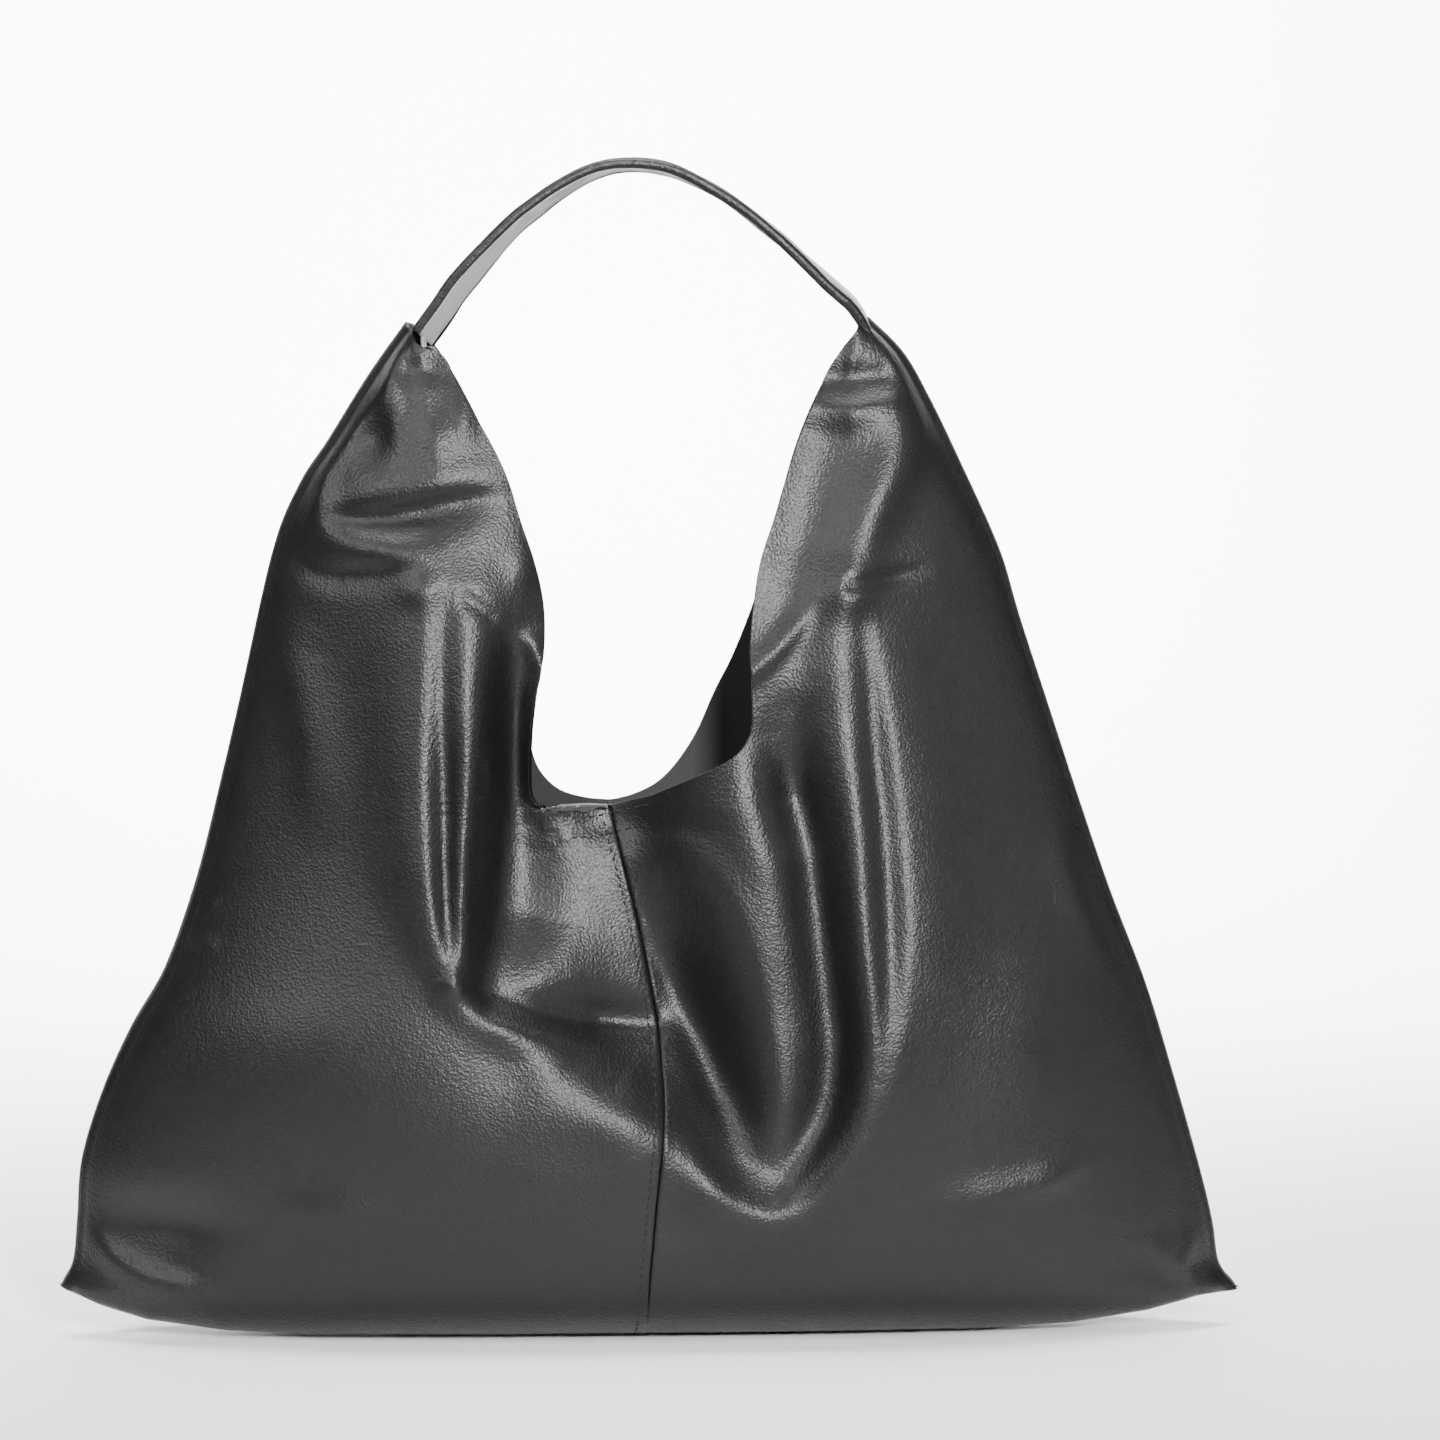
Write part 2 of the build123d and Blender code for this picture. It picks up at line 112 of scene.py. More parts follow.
# ---- Depth of the filled bag: (height, half depth) in the fullest place across ----
BULGE = [
    (0, 37), (20, 44), (60, 54), (100, 60.5), (135, 62), (170, 59), (205, 54), (240, 48.5),
    (280, 43), (330, 36), (370, 29), (400, 23), (430, 16), (446, 12.5), (457, 11),
]
# How far in from the side seam the bag has reached its full depth, at each height
SHOULDER = [(200, 400), (260, 240), (330, 118), (400, 48), (441, 18), (457, 10)]
# Share of the depth that the pinch beside the middle seam takes, left and right of the seam
BACK_PINCH = [(60, 0), (100, 0.08), (140, 0.24), (180, 0.44), (215, 0.66), (238, 0.79), (300, 0.79)]
PINCH = {
    "front": (
        [(60, 0), (80, 0.03), (100, 0.15), (120, 0.40), (138, 0.59), (155, 0.65), (208, 0.65),
         (222, 0.69), (238, 0.77), (300, 0.77)],
        [(45, 0), (70, 0.15), (90, 0.32), (110, 0.45), (130, 0.55), (155, 0.62), (208, 0.64),
         (222, 0.69), (238, 0.77), (300, 0.77)],
    ),
    "back": (BACK_PINCH, BACK_PINCH),
}
PINCH_SPREAD = [(60, 62), (140, 55), (200, 44), (238, 36), (300, 34)]
PINCH_BLEND = 9  # half the stretch across the seam where the left pinch turns into the right one
GROOVE = 0.8  # depth and reach of the groove in which the middle seam lies
GROOVE_TOP = 300  # height under which there is a middle seam
CALM_DEPTH = 9  # depth under which folds fade out towards the sewn edge
TURN_UNDER = 30  # radius of the turn under the base, which shrinks towards the lower corners
FLANGE_TURN = 0.75  # slope that turns the sewn edge towards the back

# ---- Strap: middle line of the band, its twist in degrees and its width ----
STRAP = [
    (-101.6, 447.1), (-93.5, 458.5), (-87.1, 467.9), (-81, 475.1), (-74.1, 483.2), (-67, 491),
    (-58.8, 499), (-51.4, 505), (-44.2, 510.7), (-37.5, 515.1), (-29.3, 519.6), (-21.3, 522.7),
    (-13, 524.4), (-2.8, 524.4), (6.8, 522.8), (15.1, 520.1), (24.6, 515.8), (33.3, 510.9),
    (41.6, 505.1), (50.5, 498.2), (58.9, 491.5), (66.7, 484.4), (74, 477.8), (80.1, 472.3),
    (85.6, 467.6), (90.7, 462.8), (95.2, 455.7), (98.2, 448.5),
]
TWIST = [16, 15, 13.5, 12, 10, 8, 6.3, 5.2, 4.4, 3.3, 2, 0, -2, -2.4, -2.8, -4.4, -5.6, -6, -5.6, -5.3,
         -5.6, -6.6, -8.6, -10.6, -10.8, -9, -6]
BAND_WIDTH = [27, 31, 35, 36, 36, 36, 36, 36, 36, 36, 36, 36, 35, 32, 24]
# Half of the band's section: (share of its half width, height) from the middle of its top
BAND_SECTION = [
    (0, 2.9), (0.5, 2.8), (0.84, 2.5), (0.97, 1.4), (1.0, 0), (0.99, -1.5), (0.94, -2.5), (0.86, -2.4),
]
UNDER_SECTION = [(0, -1.5), (0.4, -1.55), (0.7, -1.75), (0.9, -2.2)]
BAND_LEATHER = 1.3
UNDER_LEATHER = 0.9
# The tongues inside the peaks: (x, z) of the lower and the upper end
TONGUES = {"left": [(-99, 398), (-101.5, 450)], "right": [(94, 398), (95.5, 451)]}
TONGUE_HALF_WIDTH = 6.5

# ---- Inside pieces: their ranges along X and Z, and the Y of their middle ----
TAB_X, TAB_Z, TAB_CORNER, TAB_LEATHER = (-36, 0), (206, 238), 5, 3.1
TAB_Y = {"snap_tab_front": -4.1, "snap_patch_back": 4.15}
POCKET_X, POCKET_Z, POCKET_CORNER, POCKET_CLOTH = (-97, 61), (93.5, 199.4), 12, 0.8
POCKET_FRONT_Y, POCKET_BACK_Y, POCKET_WAVES = 5.9, 10.1, 0.3
HEADER_Z, HEADER_Y, HEADER_TOP, HEADER_LEATHER = (200.6, 238), 6.9, 44, 1.2
ZIP_MIDDLE, SLOT_HALF, FLAT_ROUND_ZIP = (-18, 184), (65, 5), 13
TAPE_X, TAPE_Y, TAPE_CLOTH = (-85.5, 49.5), 6.55, 0.5
TAPE_Z = {"zip_tape_lower": (174.1, 182.7), "zip_tape_upper": (185.3, 193.9)}
SQUARE_CORNER = 0.1

# ---- Stitches ----
BOX_BELOW_MOUTH = (3.4, 12.0)
MOUTH_OVER_BOX = {
    "front": [(-36, 236.3), (-27, 236.8), (-18, 238.4), (-9, 240.6), (0, 243)],
    "back": [(-36, 243), (-27, 240.5), (-18, 240), (-9, 241.5), (0, 245)],
}
SEAM_ENDS = 3  # how far the stitching stops short of the base and the mouth
THREAD_LIFT = 0.45  # how far the threads lie above the leather

# ---- Stage, in metres ----
LIGHTS = {
    # name: place, aim, width and height, watts, beam in degrees
    "key": ((0.46, -2.12, 0.95), (0, 0, 0.29), (0.4, 0.5), 7.2, 36),
    "left fill": ((-1.5, -1.6, 1.6), (0, 0, 0.3), (0.9, 0.9), 5, 50),
    "right softbox": ((1.7, -0.6, 0.8), (0, 0, 0.22), (0.35, 1.4), 0.8, 60),
    "top softbox": ((0, 0.15, 2.0), (0, 0.25, 0), (1.6, 0.9), 17, 70),
    "backdrop left": ((-1.2, 1.0, 1.9), (0.1, 2.4, 0.5), (0.9, 0.9), 150, 110),
    "backdrop right": ((1.2, 1.0, 1.9), (-0.1, 2.4, 0.5), (0.9, 0.9), 150, 110),
}
BACKDROP = [(-4, 0), (0.6, 0), (1.6, 0.02), (2.2, 0.3), (2.5, 1.2), (2.6, 4)]
BACKDROP_HALF_WIDTH = 5
SKY_STRENGTH = 0.08
CAMERA_AIM = (0.0317, 0, 0.276)
CAMERA_ANGLES = (-3, 2)  # azimuth and elevation in degrees
VIEW_WIDTH = 0.648  # what the picture spans at the aim
SENSOR = 36

# A fold: the points of its crest, its heights spread along it, and how far it reaches to the left
# and to the right of its direction, spread along it too.  A negative height is a valley.
FOLDS = {
    "front": [
        ([(-109.7, 450.7), (-114.2, 434.6), (-123.2, 413.1)], (1, 1.4, 0), (4,), (4,)),
        ([(-104.4, 445.4), (-102.1, 432.8), (-98.1, 408.2)], (0.8, 1.2, 0), (3.6,), (3.6,)),
        ([(96.4, 455.2), (106.3, 440.9), (118.8, 419.4)], (1, 1.2, 0), (3.6,), (3.6,)),
        ([(92.8, 451.6), (90.1, 436.4), (87.4, 414.9)], (0.8, 1, 0), (3.6,), (3.6,)),
        ([(81.3, 427.6), (75.5, 401), (68.4, 374.4), (63.5, 347.7), (59.1, 330)], (-1, -3.5, -4, -4,
         -2), (16,), (16,)),
        ([(-100.3, 334.5), (-102.5, 312.6), (-103.4, 286.3), (-102.5, 251.3), (-100.3, 220.7),
         (-96.8, 194.5), (-92.4, 177), (-87.1, 161.7)], (4, 6, 7, 7.5, 7.5, 7, 5, 2), (13, 13, 13, 11,
         9, 6, 4, 3), (24, 24, 24, 23, 21, 18, 13, 8)),
        ([(-80.6, 330.1), (-81.4, 286.3), (-80.6, 251.3), (-82.8, 220.7), (-84.1, 198.8), (-85, 177),
         (-86.3, 164.7)], (3, 5.5, 7, 7.5, 7.5, 6, 2.5), (15, 15, 14, 12, 11, 9, 6), (12, 12, 11, 9, 7,
         4, 3)),
        ([(-91.5, 330.1), (-91.5, 286.3), (-91.1, 251.3), (-90.6, 220.7), (-89.8, 194.5), (-88.5, 177)],
         (-0.6, -1.6, -2.2, -2.4, -2.2, -0.8), (5, 5, 5, 4.5, 4, 3), (5, 5, 5, 4.5, 4, 3)),
        ([(-60.9, 312.5), (-61.3, 277.4), (-62.2, 242.3), (-63.9, 216), (-66.1, 185.3), (-71, 161.2)],
         (-5, -14, -20, -21, -18, -7), (10, 10, 12, 22, 24, 14), (10, 10, 11, 12, 12, 9)),
        ([(-49.8, 290.2), (-51.6, 268), (-51.1, 243.7)], (2, 3, 2), (6,), (6,)),
        ([(-87.1, 162.2), (-80.5, 154.7), (-71.8, 148.6), (-58.7, 142.5), (-43.4, 136.9),
         (-28.1, 130.3), (-12.8, 122.9)], (2.5, 4.5, 6, 6, 5, 4, 2), (4, 4, 5, 6, 6, 6, 6), (8, 9, 10,
         14, 18, 20, 20)),
        ([(-67.4, 153.8), (-49.9, 148.1), (-28, 142.8), (-1.7, 139.3)], (-3, -8, -10, -6), (12,), (6,)),
        ([(-41.2, 118.9), (-15, 108), (4.6, 90.6), (19.8, 75.4)], (5, 8, 8, 4), (15,), (20,)),
        ([(82, 334.5), (83.3, 308.3), (84.6, 286.5), (86.8, 260.3), (89.9, 229.8), (91.2, 199.2),
         (92.5, 173.1), (93.8, 146.9), (93.4, 129.4), (90.7, 114.2), (85.5, 99.8), (76.8, 88),
         (68, 74.9), (61.5, 64.9), (52.7, 59.2), (41.8, 61.4), (30.9, 67.5), (22.2, 76.2), (15.6, 88),
         (9.5, 103.3)], (4, 5, 6, 6, 7, 8, 8, 8, 8, 8, 8, 8, 7.5, 6.5, 5.5, 5, 5, 5, 4, 2), (12, 13, 13,
         13, 13, 13, 13, 12, 12, 12, 12, 13, 14, 16, 18, 18, 16, 14, 12, 10), (14, 14, 13, 13, 12, 11,
         10, 10, 10, 10, 9, 8, 7, 7, 7, 7, 8, 8, 8, 8)),
        ([(98.6, 330.1), (102.1, 308.3), (105.2, 286.5), (109.5, 260.3), (112.6, 234.1), (113.9, 208),
         (113.9, 181.8), (111.7, 155.6), (108.2, 129.4), (104.3, 107.6), (97.7, 93.2), (87.7, 81.5),
         (74.6, 70.5)], (3, 5, 6, 7, 7.5, 7.5, 7.5, 6.5, 5, 4, 3, 2, 0), (20, 22, 24, 27, 29, 29, 28,
         26, 24, 20, 17, 14, 12), (12, 12, 12, 12, 12, 12, 11, 10, 9, 8, 8, 8, 8)),
        ([(92.5, 321.4), (95.6, 295.2), (97.7, 260.3), (100.4, 229.8), (102.1, 199.2), (102.5, 173.1),
         (102.1, 146.9), (98.6, 120.7)], (-0.6, -1.6, -2.2, -2.4, -2.4, -2, -1.6, -0.6), (5.5,),
         (5.5,)),
        ([(61.8, 277.6), (64, 251.3), (69.3, 220.7), (73.6, 190.1), (78, 159.5), (80.7, 133.2),
         (78, 109.2), (70.6, 91.7), (61.8, 76.3)], (-3, -8, -11, -13, -13, -13, -12, -10, -6), (9,),
         (14,)),
        ([(11.4, 220.7), (29, 203.2), (42.1, 172.6), (50, 137.6), (54.4, 107), (53.1, 78.5)], (3, 4, 4,
         4, 3, 1), (10,), (14,)),
        ([(0.5, 185.7), (7.9, 166), (20.2, 137.6), (33.3, 107), (41.2, 85.1)], (-2, -8, -10, -9, -4),
         (14,), (10,)),
        ([(51.2, 268.6), (60, 242.3), (64.4, 216)], (-3, -5, 0), (12,), (12,)),
        ([(101.3, 443.1), (112.4, 434.3), (116.9, 420.9), (113.8, 405.4), (109.3, 389.9),
         (101.3, 374.4), (96, 363.3), (90.6, 347.7), (88, 334.4)], (0.8, 2.2, 3.6, 4.8, 5.2, 5.2, 4.8,
         4.2, 4), (11,), (12,)),
        ([(71.3, 415.3), (88.2, 414.4), (106, 417.1)], (2, 4, 2), (5,), (9,)),
        ([(79.6, 428.8), (101.9, 429.7)], (-2.5, -2.5), (6,), (6,)),
        ([(42.8, 298.3), (53.8, 308), (64, 320.3), (70.1, 330.9)], (3, 3, 3, 1), (5,), (5,)),
        ([(87.8, 336.6), (106.8, 339.7), (126.6, 345.9)], (-2, -2.5, 0), (3.5,), (3.5,)),
        ([(120.5, 63.1), (146.7, 65.7), (172.9, 71), (199.1, 83.2)], (0, 3, 3.5, 0), (9,), (6,)),
        ([(180.6, 232.6), (185.9, 210.5), (193.9, 188.4), (203.7, 170.7), (213.9, 158.3)], (0, 2, 2.5,
         2, 0), (7,), (9,)),
        ([(-150.3, 322.1), (-159.1, 305.9), (-153.4, 283.8), (-148.6, 255.2), (-147.7, 220)], (0, 2,
         2.5, 2, 0), (12,), (10,)),
        ([(-112.1, 443.3), (-115.6, 432.2), (-119.6, 421.1), (-128.5, 410), (-138.8, 399.7),
         (-145.5, 390), (-147.7, 378.9), (-146.3, 366.4), (-140.1, 358.9), (-130.8, 355.3),
         (-117.4, 353.1), (-105.4, 352.2)], (0.8, 2, 2.8, 3, 3.4, 3.8, 3.8, 3.8, 3.8, 3.8, 3.6, 1.5),
         (6, 6, 7, 7, 7, 7, 7, 7, 7, 7, 7, 8), (8, 8, 9, 9, 9, 9, 9, 9, 9, 9, 10, 10)),
        ([(-138.5, 364.5), (-125.2, 365.4), (-103, 369), (-80.8, 374.3), (-65.3, 377.8)], (-2, -4, -5,
         -3.5, -0.8), (8,), (11,)),
        ([(-138.5, 372.1), (-111.9, 374.3), (-89.7, 379.6), (-67.5, 381.4)], (1, 2.5, 3, 1), (12,),
         (4,)),
        ([(-113.1, 441.3), (-114.9, 428), (-114, 414.6), (-111.7, 401.2), (-109.1, 390.1)], (1, 1.6,
         1.6, 1, 0), (5,), (5,)),
        ([(-155.9, 346.8), (-142.7, 341.1), (-122.8, 341.5), (-103.8, 343.3)], (-1, -2.4, -2.4, -0.8),
         (5,), (6,)),
        ([(-81.6, 330.9), (-71, 323)], (-1.5, -1.5), (3,), (3,)),
        ([(-59.6, 317.7), (-52, 308.8), (-46.3, 296.5)], (1, 3, 3), (5,), (5,)),
        ([(-250.1, 44.6), (-231.5, 32.6), (-209.3, 25.6), (-185, 19.4)], (2, 4, 4, 0), (6,), (8,)),
        ([(222.1, 45.1), (239.9, 27.3), (255.5, 22.9)], (0, 2.5, 1), (5,), (5,)),
        ([(-206.2, 190.2), (-195.1, 194.6)], (2, 1), (2.5,), (2.5,)),
        ([(-205.3, 179.1), (-195.5, 176.9)], (2, 1), (2.5,), (2.5,)),
    ],
    "back": [
        ([(-108, 453), (-111, 438), (-118, 415)], (1.0, 1.4, 0), (2.5,), (2.5,)),
        ([(-105, 450), (-105, 436), (-104, 412)], (1.0, 1.4, 0), (2.5,), (2.5,)),
        ([(96, 455), (104, 438), (114, 415)], (1.0, 1.4, 0), (2.5,), (2.5,)),
        ([(94, 453), (94, 438), (92, 415)], (1.0, 1.4, 0), (2.5,), (2.5,)),
        ([(-112, 440), (-104, 380), (-100, 330), (-96, 285), (-98, 240), (-106, 190), (-118, 150)], (0,
         4, 7, 9, 9, 7, 2), (26,), (24,)),
        ([(-84, 345), (-86, 290), (-84, 240), (-78, 195), (-66, 150), (-44, 118), (-18, 100)], (0, 4, 6,
         6, 6, 5, 1), (9,), (12,)),
        ([(96, 440), (100, 390), (98, 340), (97, 285), (94, 235), (84, 185), (66, 140), (40, 112),
         (12, 100)], (0, 4, 7, 9, 9, 8, 7, 5, 1), (20,), (12,)),
        ([(122, 330), (126, 276), (130, 225), (130, 170)], (0, 4, 5, 0), (10,), (10,)),
        ([(-130, 320), (-138, 262), (-146, 205)], (0, 4, 0), (12,), (10,)),
        ([(-160, 348), (-130, 343), (-96, 346)], (-1, -4, -1), (6,), (6,)),
        ([(88, 342), (112, 338), (146, 342)], (-1, -3, -1), (6,), (6,)),
        ([(-256, 44), (-226, 28), (-180, 18)], (2, 5, 0), (9,), (9,)),
        ([(254, 42), (222, 28), (176, 18)], (2, 5, 0), (9,), (9,)),
        ([(-150, 62), (-90, 50), (-30, 56)], (0, 4, 0), (14,), (14,)),
        ([(60, 56), (110, 48), (170, 60)], (0, 4, 0), (14,), (12,)),
    ],
}

# A dent or a puff: its middle, its reach along X and Z, and its height.
DENTS = {
    "front": [
        ((-123.3, 401.2), (8, 12), -3),
        ((-94.3, 401.1), (8, 12), 2.5),
        ((-82.7, 410.1), (6, 12), 2.5),
        ((-101.1, 431.7), (12, 6), -2),
        ((-102.8, 334.4), (9, 7), 2),
        ((-56.5, 345.5), (7, 10), 2),
        ((-213.3, 54.2), (26, 12), -5),
        ((-137.3, 61.8), (22, 8), 2.5),
        ((242.1, 35.4), (7, 8), 3),
        ((-50.8, 202.8), (27, 48), -7),
        ((-163.3, 129.8), (50, 40), 3),
        ((168.5, 146.9), (40, 60), 4),
    ],
    "back": [
        ((10, 175), (46, 48), -10), ((-216, 58), (24, 16), -4), ((214, 58), (24, 16), -4),
        ((-170, 130), (40, 50), 4), ((170, 130), (40, 50), 4),
    ],
}


# ---- Sculpting ----
def along(points, fractions):
    """Points at fractions of the length of a smooth line through the given points."""
    p = np.array(points, float)
    p = np.vstack((2 * p[0] - p[1], p, 2 * p[-1] - p[-2]))
    t = np.linspace(0, 1, 16, endpoint=False)[:, None]
    runs = []
    for a, b, c, d in zip(p, p[1:], p[2:], p[3:]):
        runs.append(b + (c - a) * t / 2 + (2 * a - 5 * b + 4 * c - d) * t**2 / 2
                    + (3 * b - a - 3 * c + d) * t**3 / 2)
    line = np.vstack(runs + [p[-2:-1]])
    length = np.concatenate(([0], np.cumsum(np.linalg.norm(np.diff(line, axis=0), axis=1))))
    where = np.asarray(fractions) * length[-1]
    return np.stack([np.interp(where, length, line[:, k]) for k in range(line.shape[1])], axis=-1)


def table(pairs, at):
    """Value at a height, from a smooth line through (height, value) pairs."""
    line = along(pairs, np.linspace(0, 1, 300))
    return np.interp(at, line[:, 0], line[:, 1])


def evenly(values, steps):
    """Values spread evenly from 0 to 1, taken at steps between."""
    return np.interp(steps, np.linspace(0, 1, len(values)), values)


def fold_height(folds, x, z):
    """How far the folds lift or sink the leather at each point."""
    total = np.zeros_like(x)
    steps = np.linspace(0, 1, 40)
    for crest, heights, reach_left, reach_right in folds:
        line = along(crest, steps)
        height = evenly(heights, steps)
        run = np.diff(line, axis=0)
        dx, dz = x[:, None] - line[:-1, 0], z[:, None] - line[:-1, 1]
        share = np.clip((dx * run[:, 0] + dz * run[:, 1]) / (run**2).sum(axis=1), 0, 1)
        dx, dz = dx - share * run[:, 0], dz - share * run[:, 1]
        square = dx**2 + dz**2
        nearest = square.argmin(axis=1)
        rows = np.arange(len(x))
        crossed = run[nearest, 0] * dz[rows, nearest] - run[nearest, 1] * dx[rows, nearest]
        away = np.sqrt((run[nearest] ** 2).sum(axis=1) * square[rows, nearest]) + 1e-9
        to_left = 0.5 + 0.5 * np.clip(crossed / away, -1, 1)
        wide_left, wide_right = evenly(reach_left, steps)[nearest], evenly(reach_right, steps)[nearest]
        reach = wide_right + (wide_left - wide_right) * to_left
        there = height[nearest] + share[rows, nearest] * (height[nearest + 1] - height[nearest])
        total += there * np.exp(-square[rows, nearest] / reach**2)
    return total


def dent_height(dents, x, z):
    """How far the dents and puffs move the leather at each point."""
    total = np.zeros_like(x)
    for (middle_x, middle_z), (reach_x, reach_z), height in dents:
        total += height * np.exp(-((x - middle_x) / reach_x) ** 2 - ((z - middle_z) / reach_z) ** 2)
    return total


def half_width(z, x):
    """Distance from the middle to the side seam at each height, on the side that x is on."""
    left = table([(b, -a) for a, b in SIDE["left"]], z)
    right = table([(b, a) for a, b in SIDE["right"]], z)
    return np.where(x < 0, left, right)


def seam_place(face, z):
    """Place of the middle seam along X at each height."""
    return table([(b, a) for a, b in SEAM[face]], z)


def depth(face, x, z):
    """How far the outside of a face lies from the middle plane, for each x and z."""
    width = half_width(z, x) - FLANGE
    reach = (width**-4 + table(SHOULDER, z) ** -4) ** -0.25
    across = 1 - np.clip((width - np.abs(x)) / reach, 0, 1)
    lens = (1 - across**2.3) ** 0.78
    from_seam = x - seam_place(face, z)
    left, right = PINCH[face]
    share = 1 / (1 + np.exp(-from_seam / PINCH_BLEND))
    pinch = (1 - share) * table(left, z) + share * table(right, z)
    pinch = pinch * np.exp(-((from_seam / table(PINCH_SPREAD, z)) ** 2))
    body = table(BULGE, z) * lens * (1 - pinch)
    detail = fold_height(FOLDS[face], x, z) + dent_height(DENTS[face], x, z)
    near_edge = np.clip(body / CALM_DEPTH, 0, 1)
    groove = GROOVE * np.exp(-((from_seam / GROOVE) ** 2))
    return LEATHER + np.maximum(body + detail * near_edge - groove * (z < GROOVE_TOP), 0)


def foot_height(x):
    """Height of the bottom seam at each x."""
    pairs = FOOT["left"] + FOOT["right"][::-1]
    return np.interp(x, [a for a, b in pairs], [b for a, b in pairs])


def place(face, x, s, inset=0.0):
    """Wraps the drawn sheet round the filled bag: its lowest stretch turns under the base."""
    seam_z = foot_height(x)
    roll = TURN_UNDER * np.clip((262 - np.abs(x)) / 75, 0.12, 1)
    turn = np.clip((s - seam_z) / roll, 0, 1) * math.pi / 2
    under = np.sin(turn) ** 0.8
    z = np.where(turn < math.pi / 2, seam_z + roll * (1 - np.cos(turn) ** 0.8), s)
    seam_y = max(LEATHER - inset, 0.3)
    far = np.maximum(depth(face, x, np.maximum(z, seam_z + 4)) - inset, 0.3)
    far = seam_y + (far - seam_y) * under
    y = -far if face == "front" else far
    y = y + FLANGE_TURN * np.clip(np.abs(x) - half_width(z, x) + FLANGE, 0, FLANGE)
    if face == "back":
        # A strip of the back stands out past the front's left side
        strip = np.clip(far / 25, 0, 1) * np.clip((-x - 90) / 60, 0, 1)
        x = x - 6 * np.exp(-(((z - 190) / 55) ** 2)) * strip
    return np.stack((x, y, z + inset * (1 - under)), axis=-1) * MM


def inner_edge(face, side):
    """Line up the middle seam and round the mouth to the peak.

    It comes with the share of its length at each point and at the corner under the mouth."""
    seam = along(SEAM[face], np.linspace(0, 1, 200))
    mouth = along(EDGE[face, side][::-1], np.linspace(0, 1, 400))
    line = np.vstack((seam, mouth[1:]))
    length = np.concatenate(([0], np.cumsum(np.linalg.norm(np.diff(line, axis=0), axis=1))))
    return line, length / length[-1], length[len(seam) - 1] / length[-1]


def sheet_points(face, side, columns, rows, inset=0.0, top=1.0, outermost=0.0):
    """Places in space of a grid between the foot, the side seam, the middle seam and the mouth's edge.

    Columns run from the side seam to the middle seam and rows from the foot to the peak; inset moves
    the grid inwards, and it ends at a share top of the height."""
    line, share, corner = inner_edge(face, side)
    below = int(rows * corner)
    above = np.linspace(corner, top, rows - below + 1)[1:]
    up = np.concatenate((np.linspace(0, corner, below + 1), above))
    across = outermost + (1 - outermost) * crowded(columns, 0.6)
    inner = np.stack([np.interp(up, share, line[:, k]) for k in range(2)], axis=-1)
    outer = along(SIDE[side], up)
    foot = along(FOOT[side] + [SEAM[face][0]], across)
    a = across[None, :, None]
    u = (up / top)[:, None, None]
    straight_foot = (1 - a) * outer[0] + a * inner[0]
    flat = (1 - a) * outer[:, None] + a * inner[:, None]
    flat = flat + (1 - u) ** 6 * (foot[None] - straight_foot)
    points = place(face, flat[..., 0].ravel(), flat[..., 1].ravel(), inset)
    return points.reshape(len(up), len(across), 3)


def crowded(count, crowding):
    """Fractions from 0 to 1 that lie closer together near both ends."""
    t = np.linspace(0, 1, count + 1)
    return t - crowding * np.sin(2 * math.pi * t) / (2 * math.pi)


def make_grid(name, points, outward, painted=None):
    """Smooth sheet through rows of points, its faces turned so that most look outward.

    painted says whether the face at a row and a column takes the second material."""
    rows, columns = points.shape[0] - 1, points.shape[1] - 1
    bm = bmesh.new()
    bmesh.ops.create_grid(bm, x_segments=columns, y_segments=rows, size=0.5)
    order = sorted(bm.verts, key=lambda v: (round(v.co.y, 6), round(v.co.x, 6)))
    for vert, point in zip(order, points.reshape(-1, 3), strict=True):
        vert.co = point
    if painted:
        number = {vert: n for n, vert in enumerate(order)}
        for face in bm.faces:
            row, column = divmod(min(number[vert] for vert in face.verts), columns + 1)
            face.material_index = int(painted(row, column))
    bm.normal_update()
    total = sum((face.normal * face.calc_area() for face in bm.faces), Vector())
    if total.dot(Vector(outward)) < 0:
        bmesh.ops.reverse_faces(bm, faces=bm.faces)
    return finish_mesh(bm, name)


def finish_mesh(bm, name):
    """Smooth-shaded object of the bmesh, in the scene."""
    for face in bm.faces:
        face.smooth = True
    mesh = bpy.data.meshes.new(name)
    bm.to_mesh(mesh)
    bm.free()
    piece = bpy.data.objects.new(name, mesh)
    bpy.context.scene.collection.objects.link(piece)
    return piece


def join(first, second):
    """One piece of two sheets that share an edge."""
    bm = bmesh.new()
    bm.from_mesh(first.data)
    bm.from_mesh(second.data)
    bmesh.ops.remove_doubles(bm, verts=bm.verts, dist=0.02 * MM)
    bm.to_mesh(first.data)
    bm.free()
    bpy.data.objects.remove(second)
    return first


def thicken(piece, thickness, offset=-1, rim=0, inside=0):
    """Gives a sheet its thickness, in millimetres: inwards at offset -1, both ways at 0.

    rim and inside are how many materials further on its edges and its inner side take theirs."""
    solid = piece.modifiers.new("Thickness", "SOLIDIFY")
    solid.thickness = thickness * MM
    solid.offset = offset
    solid.use_even_offset = False
    solid.material_offset_rim = rim
    solid.material_offset = inside


def front_of(face):
    """Outward direction of a face."""
    return (0, -1 if face == "front" else 1, 0)


